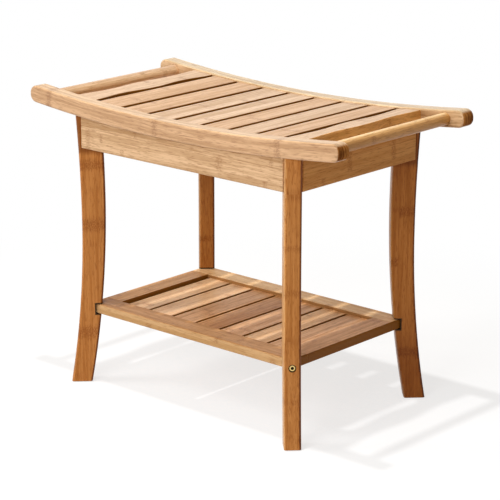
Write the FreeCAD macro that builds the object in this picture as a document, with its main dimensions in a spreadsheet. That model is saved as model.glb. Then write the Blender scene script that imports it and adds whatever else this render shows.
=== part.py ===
import FreeCAD, Part
import Sketcher
import math
import os
import re

# Bamboo shower stool: a dished slatted seat with two handle rods, four sabre legs on the
# corner diagonals and a slatted shelf. Millimetres; X along the seat, Y to the back, Z up.

os.makedirs("parts", exist_ok=True)
V = FreeCAD.Vector
doc = FreeCAD.newDocument("shower_stool")
sizes = doc.addObject("Spreadsheet::Sheet", "sizes")
working = doc.addObject("Spreadsheet::Sheet", "working")

SEAT_SLATS = 9
SHELF_SLATS = 7

DRIVING = [
    # seat
    ("rail_length", 610.0, "seat rails, end to end"),
    ("seat_depth", 310.0, "over both seat rails"),
    ("seat_height", 443.5, "top of the rails at mid length"),
    ("rail_rise", 17.5, "rail ends above the middle"),
    ("rail_width", 25.0, "seat rail, front to back"),
    ("rail_height", 26.0, "seat rail, top to underside"),
    ("rail_end_flat", 2.0, "left between the two rounds of the rail's end"),
    ("rail_edge_round", 3.0, "long edges of the rails"),
    ("slat_setback", 70.25, "rail end to the outermost slat"),
    ("slat_gap", 7.5, "between seat slats"),
    ("slat_thick", 15.0, "seat slat"),
    ("slat_recess", 2.0, "seat slats below the rail tops"),
    ("slat_edge_round", 1.0, "top edges of the seat slats"),
    ("end_slat_trim", 7.75, "taken off the outer edge of the two end slats"),
    ("grip_depth", 4.5, "waves in the edges of the two end slats"),
    ("tenon_length", 10.0, "seat slat tenon"),
    ("tenon_thick", 7.0, "seat slat tenon"),
    ("tenon_shoulder", 5.0, "seat slat edge to its tenon"),
    ("fit_gap", 0.15, "each side of a tenon, dowel or insert"),
    ("end_gap", 0.5, "beyond the end of a tenon or dowel"),
    ("rod_diameter", 18.5, "handle rod"),
    ("rod_setback", 33.5, "rail end to the rod's axis"),
    ("rod_socket", 12.0, "depth of the rod's socket in the rail"),
    ("end_chamfer", 1.0, "rod ends and bolt heads"),
    # aprons
    ("rail_overhang", 6.5, "rail's face beyond the long apron"),
    ("end_overhang", 83.5, "rail's end beyond the short apron"),
    ("apron_thick", 20.0, "all four aprons"),
    ("apron_height", 42.0, "long apron at mid length, below the rail"),
    ("apron_edge_round", 1.8, "lower edges and outer corners"),
    ("dowel_diameter", 8.0, "between rail and long apron"),
    ("dowel_length", 28.0, "between rail and long apron"),
    ("dowel_cover", 11.0, "rail top to dowel top at mid length"),
    # legs
    ("leg_thick", 25.0, "across the diagonal"),
    ("leg_edge_round", 3.5, "long edges of the legs"),
    ("top_inset", 5.6, "leg's top inside the apron corner"),
    ("top_width", 38.0, "leg at the top"),
    ("outer_bow", 7.4, "outer edge's waist inside its top"),
    ("outer_waist", 253.0, "height of the outer edge's waist"),
    ("inner_bow", 5.9, "inner edge's waist inside its top"),
    ("inner_waist", 286.0, "height of the inner edge's waist"),
    ("foot_flare", 21.0, "foot beyond the outer waist"),
    ("foot_width", 32.0, "leg at the floor"),
    ("pad_thick", 1.5, "anti-slip pad"),
    ("pad_inset", 4.0, "pad inside the foot's outline"),
    # shelf
    ("shelf_height", 127.0, "top of the shelf's frame"),
    ("shelf_thick", 15.0, "shelf frame"),
    ("shelf_setback", 16.0, "shelf inside the aprons' faces"),
    ("frame_width", 35.0, "shelf rails and stiles"),
    ("corner_cut", 12.5, "shelf corner cut away on each side"),
    ("shelf_edge_round", 2.5, "outer edges of the shelf's frame"),
    ("inside_edge_round", 0.8, "inner edges of the shelf's frame"),
    ("shelf_slat_gap", 4.5, "between shelf slats"),
    ("shelf_slat_thick", 9.0, "shelf slat"),
    ("shelf_recess", 5.0, "shelf slats below the frame's top"),
    ("shelf_slat_round", 0.8, "top edges of the shelf slats"),
    ("tongue_length", 8.0, "shelf slat tongue"),
    ("tongue_thick", 5.0, "shelf slat tongue"),
    ("tongue_shoulder", 5.0, "shelf slat edge to its tongue"),
    ("stile_tenon", 10.0, "stile tenon length"),
    ("stile_shoulder", 6.0, "stile edge to its tenon"),
    ("stile_tenon_thick", 7.0, "stile tenon"),
    ("notch_gap", 0.6, "leg notch above and below the shelf"),
    ("notch_round", 2.0, "inner corners of the leg's notch"),
    # fixings
    ("bolt_diameter", 6.0, "all bolts"),
    ("bolt_hole", 6.6, "clearance hole for the bolts"),
    ("head_diameter", 10.0, "bolt head"),
    ("head_height", 4.5, "bolt head"),
    ("head_hole", 11.0, "counterbore for the shelf bolt's head"),
    ("socket_size", 4.0, "hexagon socket across flats"),
    ("socket_depth", 2.6, "hexagon socket"),
    ("leg_web", 18.5, "leg between the notch and the bolt's head"),
    ("insert_diameter", 9.5, "threaded insert"),
    ("insert_length", 14.0, "threaded insert"),
    ("thread_gap", 0.1, "between bolt and insert"),
    ("block_lift", 6.5, "corner block above the aprons' lower edges"),
    ("block_height", 32.0, "corner block"),
    ("block_thick", 24.0, "corner block along the diagonal"),
    ("block_gap", 1.5, "between corner block and leg"),
]

DERIVED = [
    ("half_length", "rail_length / 2"),
    ("rail_inner", "seat_depth / 2 - rail_width"),
    ("top_radius", "(half_length ^ 2 + rail_rise ^ 2) / (2 * rail_rise)"),
    ("under_radius", "top_radius + rail_height"),
    ("arc_centre", "seat_height + top_radius"),
    ("slat_width", "(rail_length - 2 * slat_setback - %d * slat_gap) / %d" % (SEAT_SLATS - 1, SEAT_SLATS)),
    ("slat_pitch", "slat_width + slat_gap"),
    ("slat_step", "slat_pitch / (top_radius + slat_recess) * 180 / pi"),
    ("tenon_radius", "top_radius + slat_recess + slat_thick / 2"),
    ("rail_end_round", "(rail_height - rail_end_flat) / 2"),
    ("end_slat_outer", "slat_width / 2 - end_slat_trim"),
    ("grip_radius", "(rail_inner ^ 2 / 4 + grip_depth ^ 2) / (4 * grip_depth)"),
    ("rod_x", "half_length - rod_setback"),
    ("rod_z", "arc_centre - sqrt((top_radius + rail_height / 2) ^ 2 - rod_x ^ 2)"),
    ("dowel_top", "seat_height - dowel_cover"),
    ("dowel_bottom", "dowel_top - dowel_length"),
    ("apron_bottom", "seat_height - rail_height - apron_height"),
    ("apron_length", "rail_length - 2 * end_overhang"),
    ("apron_depth", "seat_depth - 2 * rail_overhang"),
    ("dowel_y", "apron_depth / 2 - apron_thick / 2"),
    ("leg_line", "(apron_length - apron_depth) / 2"),
    ("corner_reach", "apron_depth / 2 * sqrt(2)"),
    ("mitre", "leg_thick / sqrt(2)"),
    ("outer_top", "corner_reach - top_inset"),
    ("inner_top", "outer_top - top_width"),
    ("outer_waist_reach", "outer_top - outer_bow"),
    ("inner_waist_reach", "inner_top - inner_bow"),
    ("foot_outer", "outer_waist_reach + foot_flare"),
    ("foot_inner", "foot_outer - foot_width"),
    ("shelf_length", "apron_length - 2 * shelf_setback"),
    ("shelf_depth", "apron_depth - 2 * shelf_setback"),
    ("shelf_bottom", "shelf_height - shelf_thick"),
    ("shelf_middle", "shelf_height - shelf_thick / 2"),
    ("inside_x", "shelf_length / 2 - frame_width"),
    ("inside_y", "shelf_depth / 2 - frame_width"),
    ("shelf_slat_width", "(2 * inside_x - %d * shelf_slat_gap) / %d" % (SHELF_SLATS + 1, SHELF_SLATS)),
    ("shelf_pitch", "shelf_slat_width + shelf_slat_gap"),
    ("shelf_slat_top", "shelf_height - shelf_recess"),
    ("tongue_middle", "shelf_slat_top - shelf_slat_thick / 2"),
    ("notch_wall", "shelf_depth / 2 * sqrt(2) - corner_cut / sqrt(2)"),
    ("bolt_seat", "notch_wall + leg_web"),
    ("shelf_insert_end", "notch_wall - insert_length"),
    ("shelf_bolt_length", "leg_web + insert_length - 1"),
    ("block_bottom", "apron_bottom + block_lift"),
    ("leg_bolt_height", "block_bottom + block_height / 2"),
    ("inner_radius", "((seat_height - inner_waist) ^ 2 + inner_bow ^ 2) / (2 * inner_bow)"),
    ("inner_centre", "inner_waist_reach + inner_radius"),
    ("inner_at_bolt", "inner_centre - sqrt(inner_radius ^ 2 - (leg_bolt_height - inner_waist) ^ 2)"),
    ("inner_at_block", "inner_centre - sqrt(inner_radius ^ 2 - (block_bottom - inner_waist) ^ 2)"),
    ("block_outer", "inner_at_block - block_gap"),
    ("block_inner", "block_outer - block_thick"),
    ("block_reach", "(apron_depth / 2 - apron_thick) * sqrt(2)"),
    ("leg_insert_end", "inner_at_bolt + insert_length + end_gap"),
    ("leg_bolt_length", "leg_insert_end - 1 - block_inner"),
]

for row, (alias, number_value, note) in enumerate(DRIVING, 1):
    sizes.set("A%d" % row, note)
    sizes.set("B%d" % row, str(number_value))
    sizes.setAlias("B%d" % row, alias)
doc.recompute()
for row, (alias, formula) in enumerate(DERIVED, len(DRIVING) + 1):
    sizes.set("B%d" % row, "=" + formula)
    sizes.setAlias("B%d" % row, alias)
doc.recompute()
ALIASES = {entry[0] for entry in DRIVING + DERIVED}


def linked(text):
    """A formula in sheet names, written so that other objects can use it."""
    return re.sub(r"[a-z_]+", lambda m: "sizes." + m.group(0) if m.group(0) in ALIASES else m.group(0), text)


def number(text):
    """The present value of a formula in sheet names, taken from a working cell that drives nothing."""
    working.set("A1", "=" + linked(text))
    working.recompute()
    return float(working.get("A1"))


def bind(item, prop, text):
    item.setExpression(prop, linked(text))


def new_body(name):
    return doc.addObject("PartDesign::Body", name)


def new_sketch(body, name, role, offset=("0", "0", "0"), turn_axis=None, turn=0.0):
    """A sketch on one of the body's own planes, shifted (and turned) within that plane's frame."""
    sketch = body.newObject("Sketcher::SketchObject", name)
    plane = [item for item in body.Origin.OriginFeatures if item.Role == role][0]
    sketch.AttachmentSupport = [(plane, "")]
    sketch.MapMode = "FlatFace"
    rotation = FreeCAD.Rotation(turn_axis, turn) if turn_axis else FreeCAD.Rotation()
    sketch.AttachmentOffset = FreeCAD.Placement(V(*[number(text) for text in offset]), rotation)
    for axis, text in zip("xyz", offset):
        if text != "0":
            bind(sketch, "AttachmentOffset.Base." + axis, text)
    return sketch


def fix_value(sketch, constraint, text):
    index = sketch.addConstraint(constraint)
    bind(sketch, "Constraints[%d]" % index, text)


def fix_point(sketch, geo, end, x, y):
    """Hold a point at formulas for its two coordinates."""
    if x == "0":
        sketch.addConstraint(Sketcher.Constraint("PointOnObject", geo, end, -2))
    else:
        fix_value(sketch, Sketcher.Constraint("DistanceX", -1, 1, geo, end, number(x)), x)
    if y == "0":
        sketch.addConstraint(Sketcher.Constraint("PointOnObject", geo, end, -1))
    else:
        fix_value(sketch, Sketcher.Constraint("DistanceY", -1, 1, geo, end, number(y)), y)


def join(sketch, *pairs):
    for geo_a, end_a, geo_b, end_b in pairs:
        sketch.addConstraint(Sketcher.Constraint("Coincident", geo_a, end_a, geo_b, end_b))


def polygon(sketch, corners):
    points = [V(number(x), number(y), 0) for x, y in corners]
    first = sketch.GeometryCount
    count = len(points)
    for i in range(count):
        sketch.addGeometry(Part.LineSegment(points[i], points[(i + 1) % count]), False)
    for i in range(count):
        join(sketch, (first + i, 2, first + (i + 1) % count, 1))
    for i, (x, y) in enumerate(corners):
        fix_point(sketch, first + i, 1, x, y)


def rectangle(sketch, x_low, x_high, y_low, y_high):
    polygon(sketch, [(x_low, y_low), (x_high, y_low), (x_high, y_high), (x_low, y_high)])


def circle(sketch, x, y, diameter):
    geo = sketch.addGeometry(Part.Circle(V(number(x), number(y), 0), V(0, 0, 1), number(diameter) / 2), False)
    fix_point(sketch, geo, 3, x, y)
    fix_value(sketch, Sketcher.Constraint("Diameter", geo, number(diameter)), diameter)


def arc(sketch, centre, start, end):
    """Arc running anticlockwise from start to end, all three given as numbers."""
    radius = math.hypot(start[0] - centre[0], start[1] - centre[1])
    a_start = math.atan2(start[1] - centre[1], start[0] - centre[0])
    a_end = math.atan2(end[1] - centre[1], end[0] - centre[0])
    if a_end < a_start:
        a_end += 2 * math.pi
    whole = Part.Circle(V(centre[0], centre[1], 0), V(0, 0, 1), radius)
    return sketch.addGeometry(Part.ArcOfCircle(whole, a_start, a_end), False)


def volume_of(body):
    return body.Shape.Volume if body.Shape.Solids else 0.0


def extrude(body, kind, sketch, length=None, both=False, reverse=False):
    """Pad or pocket a sketch; a pocket that takes nothing away stops the build."""
    before = volume_of(body)
    feature = body.newObject("PartDesign::" + kind, sketch.Name.replace("_outline", "") + "_" + kind.lower())
    feature.Profile = (sketch, [""])
    if length is None:
        feature.Type = "ThroughAll"
    else:
        feature.Length = number(length)
        bind(feature, "Length", length)
    feature.SideType = "Symmetric" if both else "One side"
    feature.Reversed = reverse
    sketch.Visibility = False
    doc.recompute()
    if kind == "Pocket" and not feature.Shape.Volume < before - 1e-6:
        raise RuntimeError("nothing cut by " + feature.Name)
    return feature


def spin(body, kind, sketch):
    """Turn a sketch all round its own horizontal axis, as a solid or as a cut."""
    before = volume_of(body)
    feature = body.newObject("PartDesign::" + kind, sketch.Name.replace("_outline", "") + "_turned")
    feature.Profile = (sketch, [""])
    feature.ReferenceAxis = (sketch, ["H_Axis"])
    feature.Angle = 360
    sketch.Visibility = False
    doc.recompute()
    if kind == "Groove" and not feature.Shape.Volume < before - 1e-6:
        raise RuntimeError("nothing cut by " + feature.Name)
    return feature


def round_edges(body, name, wanted, radius):
    """Fillet the edges of the body's tip that the test picks."""
    tip = body.Tip
    picked = ["Edge%d" % i for i, edge in enumerate(tip.Shape.Edges, 1) if wanted(edge)]
    if not picked:
        raise RuntimeError("no edges for " + name)
    feature = body.newObject("PartDesign::Fillet", name)
    feature.Base = (tip, picked)
    feature.Radius = number(radius)
    bind(feature, "Radius", radius)
    doc.recompute()
    return feature


def ends_of(edge):
    return [vertex.Point for vertex in edge.Vertexes]


def middle_of(edge):
    return edge.valueAt((edge.FirstParameter + edge.LastParameter) / 2)


def runs_along(edge, axis):
    """True for a straight edge parallel to the axis 'x', 'y' or 'z'."""
    points = ends_of(edge)
    if len(points) != 2:
        return False
    step = points[1] - points[0]
    return abs(getattr(step, axis)) > 0.999 * step.Length


def near(a, b):
    return abs(a - b) < 1e-4


def on_diagonal(body, side_x, side_y):
    """Stand a body's local x axis on a corner diagonal of the stool."""
    angle = math.degrees(math.atan2(side_y, side_x))
    turn = FreeCAD.Rotation(V(0, 0, 1), angle)
    body.Placement = FreeCAD.Placement(V(side_x * number("leg_line"), 0, 0), turn)
    bind(body, "Placement.Base.x", "%d * leg_line" % side_x)
    return angle


CORNERS = [("front_left", -1, -1), ("front_right", 1, -1), ("rear_left", -1, 1), ("rear_right", 1, 1)]
NODES = {}


def trim_under_seat(body, name, x_from, x_to, shift="0", turn=0.0):
    """Cut away all that stands above the seat rails' curved underside."""
    sketch = new_sketch(body, name, "XZ_Plane", turn_axis=V(0, 1, 0), turn=turn)
    shifted = [text + " - (" + shift + ")" for text in (x_from, x_to)]
    middle = "0 - (" + shift + ")"
    centre = (number(middle), number("arc_centre"))
    radius = number("under_radius")
    reach = [number(text) for text in shifted]
    level = [centre[1] - math.sqrt(radius ** 2 - (x - centre[0]) ** 2) for x in reach]
    ceiling = "seat_height + rail_rise + 30"
    top = number(ceiling)
    curve = arc(sketch, centre, (reach[0], level[0]), (reach[1], level[1]))
    right = sketch.addGeometry(Part.LineSegment(V(reach[1], level[1], 0), V(reach[1], top, 0)), False)
    across = sketch.addGeometry(Part.LineSegment(V(reach[1], top, 0), V(reach[0], top, 0)), False)
    left = sketch.addGeometry(Part.LineSegment(V(reach[0], top, 0), V(reach[0], level[0], 0)), False)
    join(sketch, (curve, 2, right, 1), (right, 2, across, 1), (across, 2, left, 1), (left, 2, curve, 1))
    sketch.addConstraint(Sketcher.Constraint("Vertical", right))
    sketch.addConstraint(Sketcher.Constraint("Horizontal", across))
    sketch.addConstraint(Sketcher.Constraint("Vertical", left))
    fix_value(sketch, Sketcher.Constraint("DistanceY", -1, 1, right, 2, top), ceiling)
    fix_value(sketch, Sketcher.Constraint("Radius", curve, radius), "under_radius")
    if shift == "0":
        fix_point(sketch, curve, 3, "0", "arc_centre")
    else:
        fix_point(sketch, curve, 3, middle, "arc_centre")
    fix_value(sketch, Sketcher.Constraint("DistanceX", -1, 1, curve, 1, reach[0]), shifted[0])
    fix_value(sketch, Sketcher.Constraint("DistanceX", -1, 1, curve, 2, reach[1]), shifted[1])
    return extrude(body, "Pocket", sketch, both=True)


def slat_span(place):
    """Left and right edges of a seat slat in its own frame; the end slats are trimmed outside."""
    low = "0 - end_slat_outer" if place == 1 else "0 - slat_width / 2"
    high = "end_slat_outer" if place == SEAT_SLATS else "slat_width / 2"
    return low, high


def tenon_span(place):
    low, high = slat_span(place)
    return low + " + tenon_shoulder", high + " - tenon_shoulder"


def make_seat_rail(name, side):
    """Dished rail: two concentric arcs, rounded ends, tilted mortises on the same arc centre."""
    body = new_body(name)
    inner = "%d * rail_inner" % -side
    outline = new_sketch(body, name + "_outline", "XZ_Plane", ("0", "0", inner))
    centre = (0.0, number("arc_centre"))
    half = number("half_length")
    drop = [centre[1] - math.sqrt(number(text) ** 2 - half ** 2) for text in ("top_radius", "under_radius")]
    top = arc(outline, centre, (-half, drop[0]), (half, drop[0]))
    under = arc(outline, centre, (-half, drop[1]), (half, drop[1]))
    right = outline.addGeometry(Part.LineSegment(V(half, drop[0], 0), V(half, drop[1], 0)), False)
    left = outline.addGeometry(Part.LineSegment(V(-half, drop[1], 0), V(-half, drop[0], 0)), False)
    join(outline, (top, 2, right, 1), (right, 2, under, 2), (under, 1, left, 1), (left, 2, top, 1))
    join(outline, (top, 3, under, 3))
    fix_point(outline, top, 3, "0", "arc_centre")
    fix_value(outline, Sketcher.Constraint("Radius", top, number("top_radius")), "top_radius")
    fix_value(outline, Sketcher.Constraint("Radius", under, number("under_radius")), "under_radius")
    fix_value(outline, Sketcher.Constraint("DistanceX", -1, 1, top, 1, -half), "0 - half_length")
    fix_value(outline, Sketcher.Constraint("DistanceX", -1, 1, top, 2, half), "half_length")
    outline.addConstraint(Sketcher.Constraint("Vertical", right))
    outline.addConstraint(Sketcher.Constraint("Vertical", left))
    extrude(body, "Pad", outline, "rail_width", reverse=side > 0)
    round_edges(body, name + "_end_round", lambda e: runs_along(e, "y"), "rail_end_round")
    faces = [side * number(text) for text in ("rail_inner", "rail_inner + rail_width")]
    round_edges(
        body, name + "_edge_round",
        lambda e: any(all(near(p.y, y) for p in ends_of(e) + [middle_of(e)]) for y in faces),
        "rail_edge_round")

    def cut_mortise(place):
        turn = place - (SEAT_SLATS + 1) / 2
        mortise = new_sketch(
            body, "%s_mortise_%d" % (name, place), "XZ_Plane", ("0", "arc_centre", inner),
            V(0, 0, 1), math.copysign(1.0, turn))
        bind(mortise, "AttachmentOffset.Rotation.Angle", "%g * slat_step" % turn)
        low, high = tenon_span(place)
        rectangle(
            mortise, low + " - fit_gap", high + " + fit_gap",
            "0 - tenon_radius - tenon_thick / 2 - fit_gap", "0 - tenon_radius + tenon_thick / 2 + fit_gap")
        return mortise, extrude(body, "Pocket", mortise, "tenon_length + end_gap", reverse=side < 0)

    cut_mortise(1)
    cut_mortise(SEAT_SLATS)
    mortise, first = cut_mortise(2)
    before = first.Shape.Volume
    row = body.newObject("PartDesign::PolarPattern", name + "_mortise_row")
    row.Originals = [first]
    row.Axis = (mortise, ["N_Axis"])
    row.Mode = "Extent"
    row.Angle = number("%d * slat_step" % (SEAT_SLATS - 3))
    bind(row, "Angle", "%d * slat_step" % (SEAT_SLATS - 3))
    row.Occurrences = SEAT_SLATS - 2
    body.Tip = row
    doc.recompute()
    if not row.Shape.Volume < before - 1e-6:
        raise RuntimeError("no row of mortises in " + name)
    sockets = new_sketch(body, name + "_sockets", "XZ_Plane", ("0", "0", inner))
    for way in ("0 - rod_x", "rod_x"):
        circle(sockets, way, "rod_z", "rod_diameter + 2 * fit_gap")
    extrude(body, "Pocket", sockets, "rod_socket", reverse=side < 0)
    dowels = new_sketch(body, name + "_dowel_holes", "XY_Plane", ("0", "0", "dowel_bottom"))
    for way in ("-2.5", "-0.5", "0.5", "2.5"):
        circle(dowels, way + " * slat_pitch", "%d * dowel_y" % side, "dowel_diameter + 2 * fit_gap")
    extrude(body, "Pocket", dowels, "dowel_length + end_gap", reverse=True)
    NODES[name] = body


def wave_outline(sketch, low, high):
    """Plan of an end slat: each long edge is five tangent arcs, full width at the middle and the ends."""
    radius = number("grip_radius")
    bend = "grip_depth / 2"
    stops = ["0 - rail_inner", "0 - rail_inner * 0.75", "0 - rail_inner * 0.25",
             "rail_inner * 0.25", "rail_inner * 0.75", "rail_inner"]
    crests = ["0 - rail_inner", "0 - rail_inner / 2", "0", "rail_inner / 2", "rail_inner"]
    edges = []
    for edge, way in ((low, 1), (high, -1)):
        inside = edge + (" + " if way > 0 else " - ") + bend
        points = [(edge if stop in (stops[0], stops[-1]) else inside, stop) for stop in stops]
        arcs = []
        for i, crest in enumerate(crests):
            bulge = way if i % 2 == 0 else -way
            base = number(edge) + (0.0 if i % 2 == 0 else way * number("grip_depth"))
            centre = (base + bulge * radius, number(crest))
            here, after = [(number(x), number(y)) for x, y in points[i:i + 2]]
            anticlockwise = bulge < 0
            ends = (here, after) if anticlockwise else (after, here)
            arcs.append((arc(sketch, centre, *ends), (1, 2) if anticlockwise else (2, 1)))
        for (geo, ends), (other, other_ends) in zip(arcs, arcs[1:]):
            join(sketch, (geo, ends[1], other, other_ends[0]))
        for (geo, ends), (x, y) in zip(arcs, points):
            fix_point(sketch, geo, ends[0], x, y)
        fix_point(sketch, arcs[-1][0], arcs[-1][1][1], *points[-1])
        edges.append(arcs)
    first = edges[0][0][0]
    fix_value(sketch, Sketcher.Constraint("Radius", first, radius), "grip_radius")
    for arcs in edges:
        for geo, ends in arcs:
            if geo != first:
                sketch.addConstraint(Sketcher.Constraint("Equal", first, geo))
    for end, y in ((0, "0 - rail_inner"), (-1, "rail_inner")):
        geo_a, ends_a = edges[0][end]
        geo_b, ends_b = edges[1][end]
        line = sketch.addGeometry(
            Part.LineSegment(V(number(low), number(y), 0), V(number(high), number(y), 0)), False)
        join(sketch, (line, 1, geo_a, ends_a[end]), (line, 2, geo_b, ends_b[end]))


def make_seat_slat(number_in_row):
    """Flat slat with a tenon each end, swung to its place about the seat's arc centre."""
    name = "seat_slat_%d" % number_in_row
    body = new_body(name)
    top = "seat_height - slat_recess"
    level = number(top)
    low, high = slat_span(number_in_row)
    if number_in_row in (1, SEAT_SLATS):
        board = new_sketch(body, name + "_board", "XY_Plane", ("0", "0", top + " - slat_thick"))
        wave_outline(board, low, high)
        extrude(body, "Pad", board, "slat_thick")
        limit = number("rail_inner")
        round_edges(
            body, name + "_round",
            lambda e: all(near(p.z, level) for p in ends_of(e)) and abs(middle_of(e).y) < limit - 0.01,
            "slat_edge_round")
    else:
        board = new_sketch(body, name + "_board", "XZ_Plane")
        rectangle(board, low, high, top + " - slat_thick", top)
        extrude(body, "Pad", board, "2 * rail_inner", both=True)
        round_edges(
            body, name + "_round",
            lambda e: runs_along(e, "y") and near(ends_of(e)[0].z, level), "slat_edge_round")
    tenon = new_sketch(body, name + "_tenon", "XZ_Plane")
    middle = top + " - slat_thick / 2"
    low, high = tenon_span(number_in_row)
    rectangle(
        tenon, low, high,
        middle + " - tenon_thick / 2", middle + " + tenon_thick / 2")
    extrude(body, "Pad", tenon, "2 * (rail_inner + tenon_length)", both=True)
    steps = number_in_row - (SEAT_SLATS + 1) / 2
    if steps:
        swing = "%g * slat_step" % steps
        angle = math.radians(number(swing))
        lift = number("arc_centre")
        body.Placement = FreeCAD.Placement(
            V(lift * math.sin(angle), 0, lift * (1 - math.cos(angle))),
            FreeCAD.Rotation(V(0, 1, 0), -math.degrees(angle)))
        bind(body, "Placement.Base.x", "arc_centre * sin(%s)" % swing)
        bind(body, "Placement.Base.z", "arc_centre * (1 - cos(%s))" % swing)
        bind(body, "Placement.Rotation.Angle", "%g * slat_step" % -steps)
    NODES[name] = body


def make_handle_rod(name, side):
    """Turned rod with eased ends, seated in the rails' sockets."""
    body = new_body(name)
    profile = new_sketch(body, name + "_outline", "YZ_Plane", ("0", "rod_z", "%d * rod_x" % side))
    end = "(rail_inner + rod_socket)"
    polygon(profile, [
        ("0 - " + end, "0"), ("0 - " + end, "rod_diameter / 2 - end_chamfer"),
        ("end_chamfer - " + end, "rod_diameter / 2"), (end + " - end_chamfer", "rod_diameter / 2"),
        (end, "rod_diameter / 2 - end_chamfer"), (end, "0")])
    spin(body, "Revolution", profile)
    NODES[name] = body


def make_long_apron(name, side):
    """Mitred between two legs, top edge following the rail, straight lower edge."""
    body = new_body(name)
    face = "%d * apron_depth / 2" % side
    back = "%d * (apron_depth / 2 - apron_thick)" % side
    outer = "(leg_line + apron_depth / 2 - mitre)"
    inner = "(leg_line + apron_depth / 2 - apron_thick - mitre)"
    plan = new_sketch(body, name + "_outline", "XY_Plane", ("0", "0", "apron_bottom"))
    polygon(plan, [("0 - " + outer, face), (outer, face), (inner, back), ("0 - " + inner, back)])
    extrude(body, "Pad", plan, "seat_height + rail_rise - apron_bottom")
    low = number("apron_bottom")
    rim = number(face)

    def is_eased(edge):
        start = ends_of(edge)[0]
        return (
            (runs_along(edge, "x") and near(start.z, low))
            or (runs_along(edge, "z") and near(start.y, rim)))

    round_edges(body, name + "_round", is_eased, "apron_edge_round")
    trim_under_seat(body, name + "_trim", "0 - half_length", "half_length")
    dowels = new_sketch(body, name + "_dowel_holes", "XY_Plane", ("0", "0", "dowel_bottom"))
    for way in ("-2.5", "-0.5", "0.5", "2.5"):
        circle(dowels, way + " * slat_pitch", "%d * dowel_y" % side, "dowel_diameter + 2 * fit_gap")
    extrude(body, "Pocket", dowels, "dowel_length + end_gap", reverse=True)
    NODES[name] = body


def make_end_apron(name, side):
    """Mitred between the two legs of one end."""
    body = new_body(name)
    face = "%d * apron_length / 2" % side
    back = "%d * (apron_length / 2 - apron_thick)" % side
    outer = "(apron_length / 2 - leg_line - mitre)"
    inner = "(apron_length / 2 - leg_line - apron_thick - mitre)"
    plan = new_sketch(body, name + "_outline", "XY_Plane", ("0", "0", "apron_bottom"))
    polygon(plan, [(face, "0 - " + outer), (face, outer), (back, inner), (back, "0 - " + inner)])
    extrude(body, "Pad", plan, "seat_height + rail_rise - apron_bottom")
    low = number("apron_bottom")
    rim = number(face)

    def is_eased(edge):
        start = ends_of(edge)[0]
        return (
            (runs_along(edge, "y") and near(start.z, low))
            or (runs_along(edge, "z") and near(start.x, rim)))

    round_edges(body, name + "_round", is_eased, "apron_edge_round")
    trim_under_seat(body, name + "_trim", "0 - half_length", "half_length")
    NODES[name] = body


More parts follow.
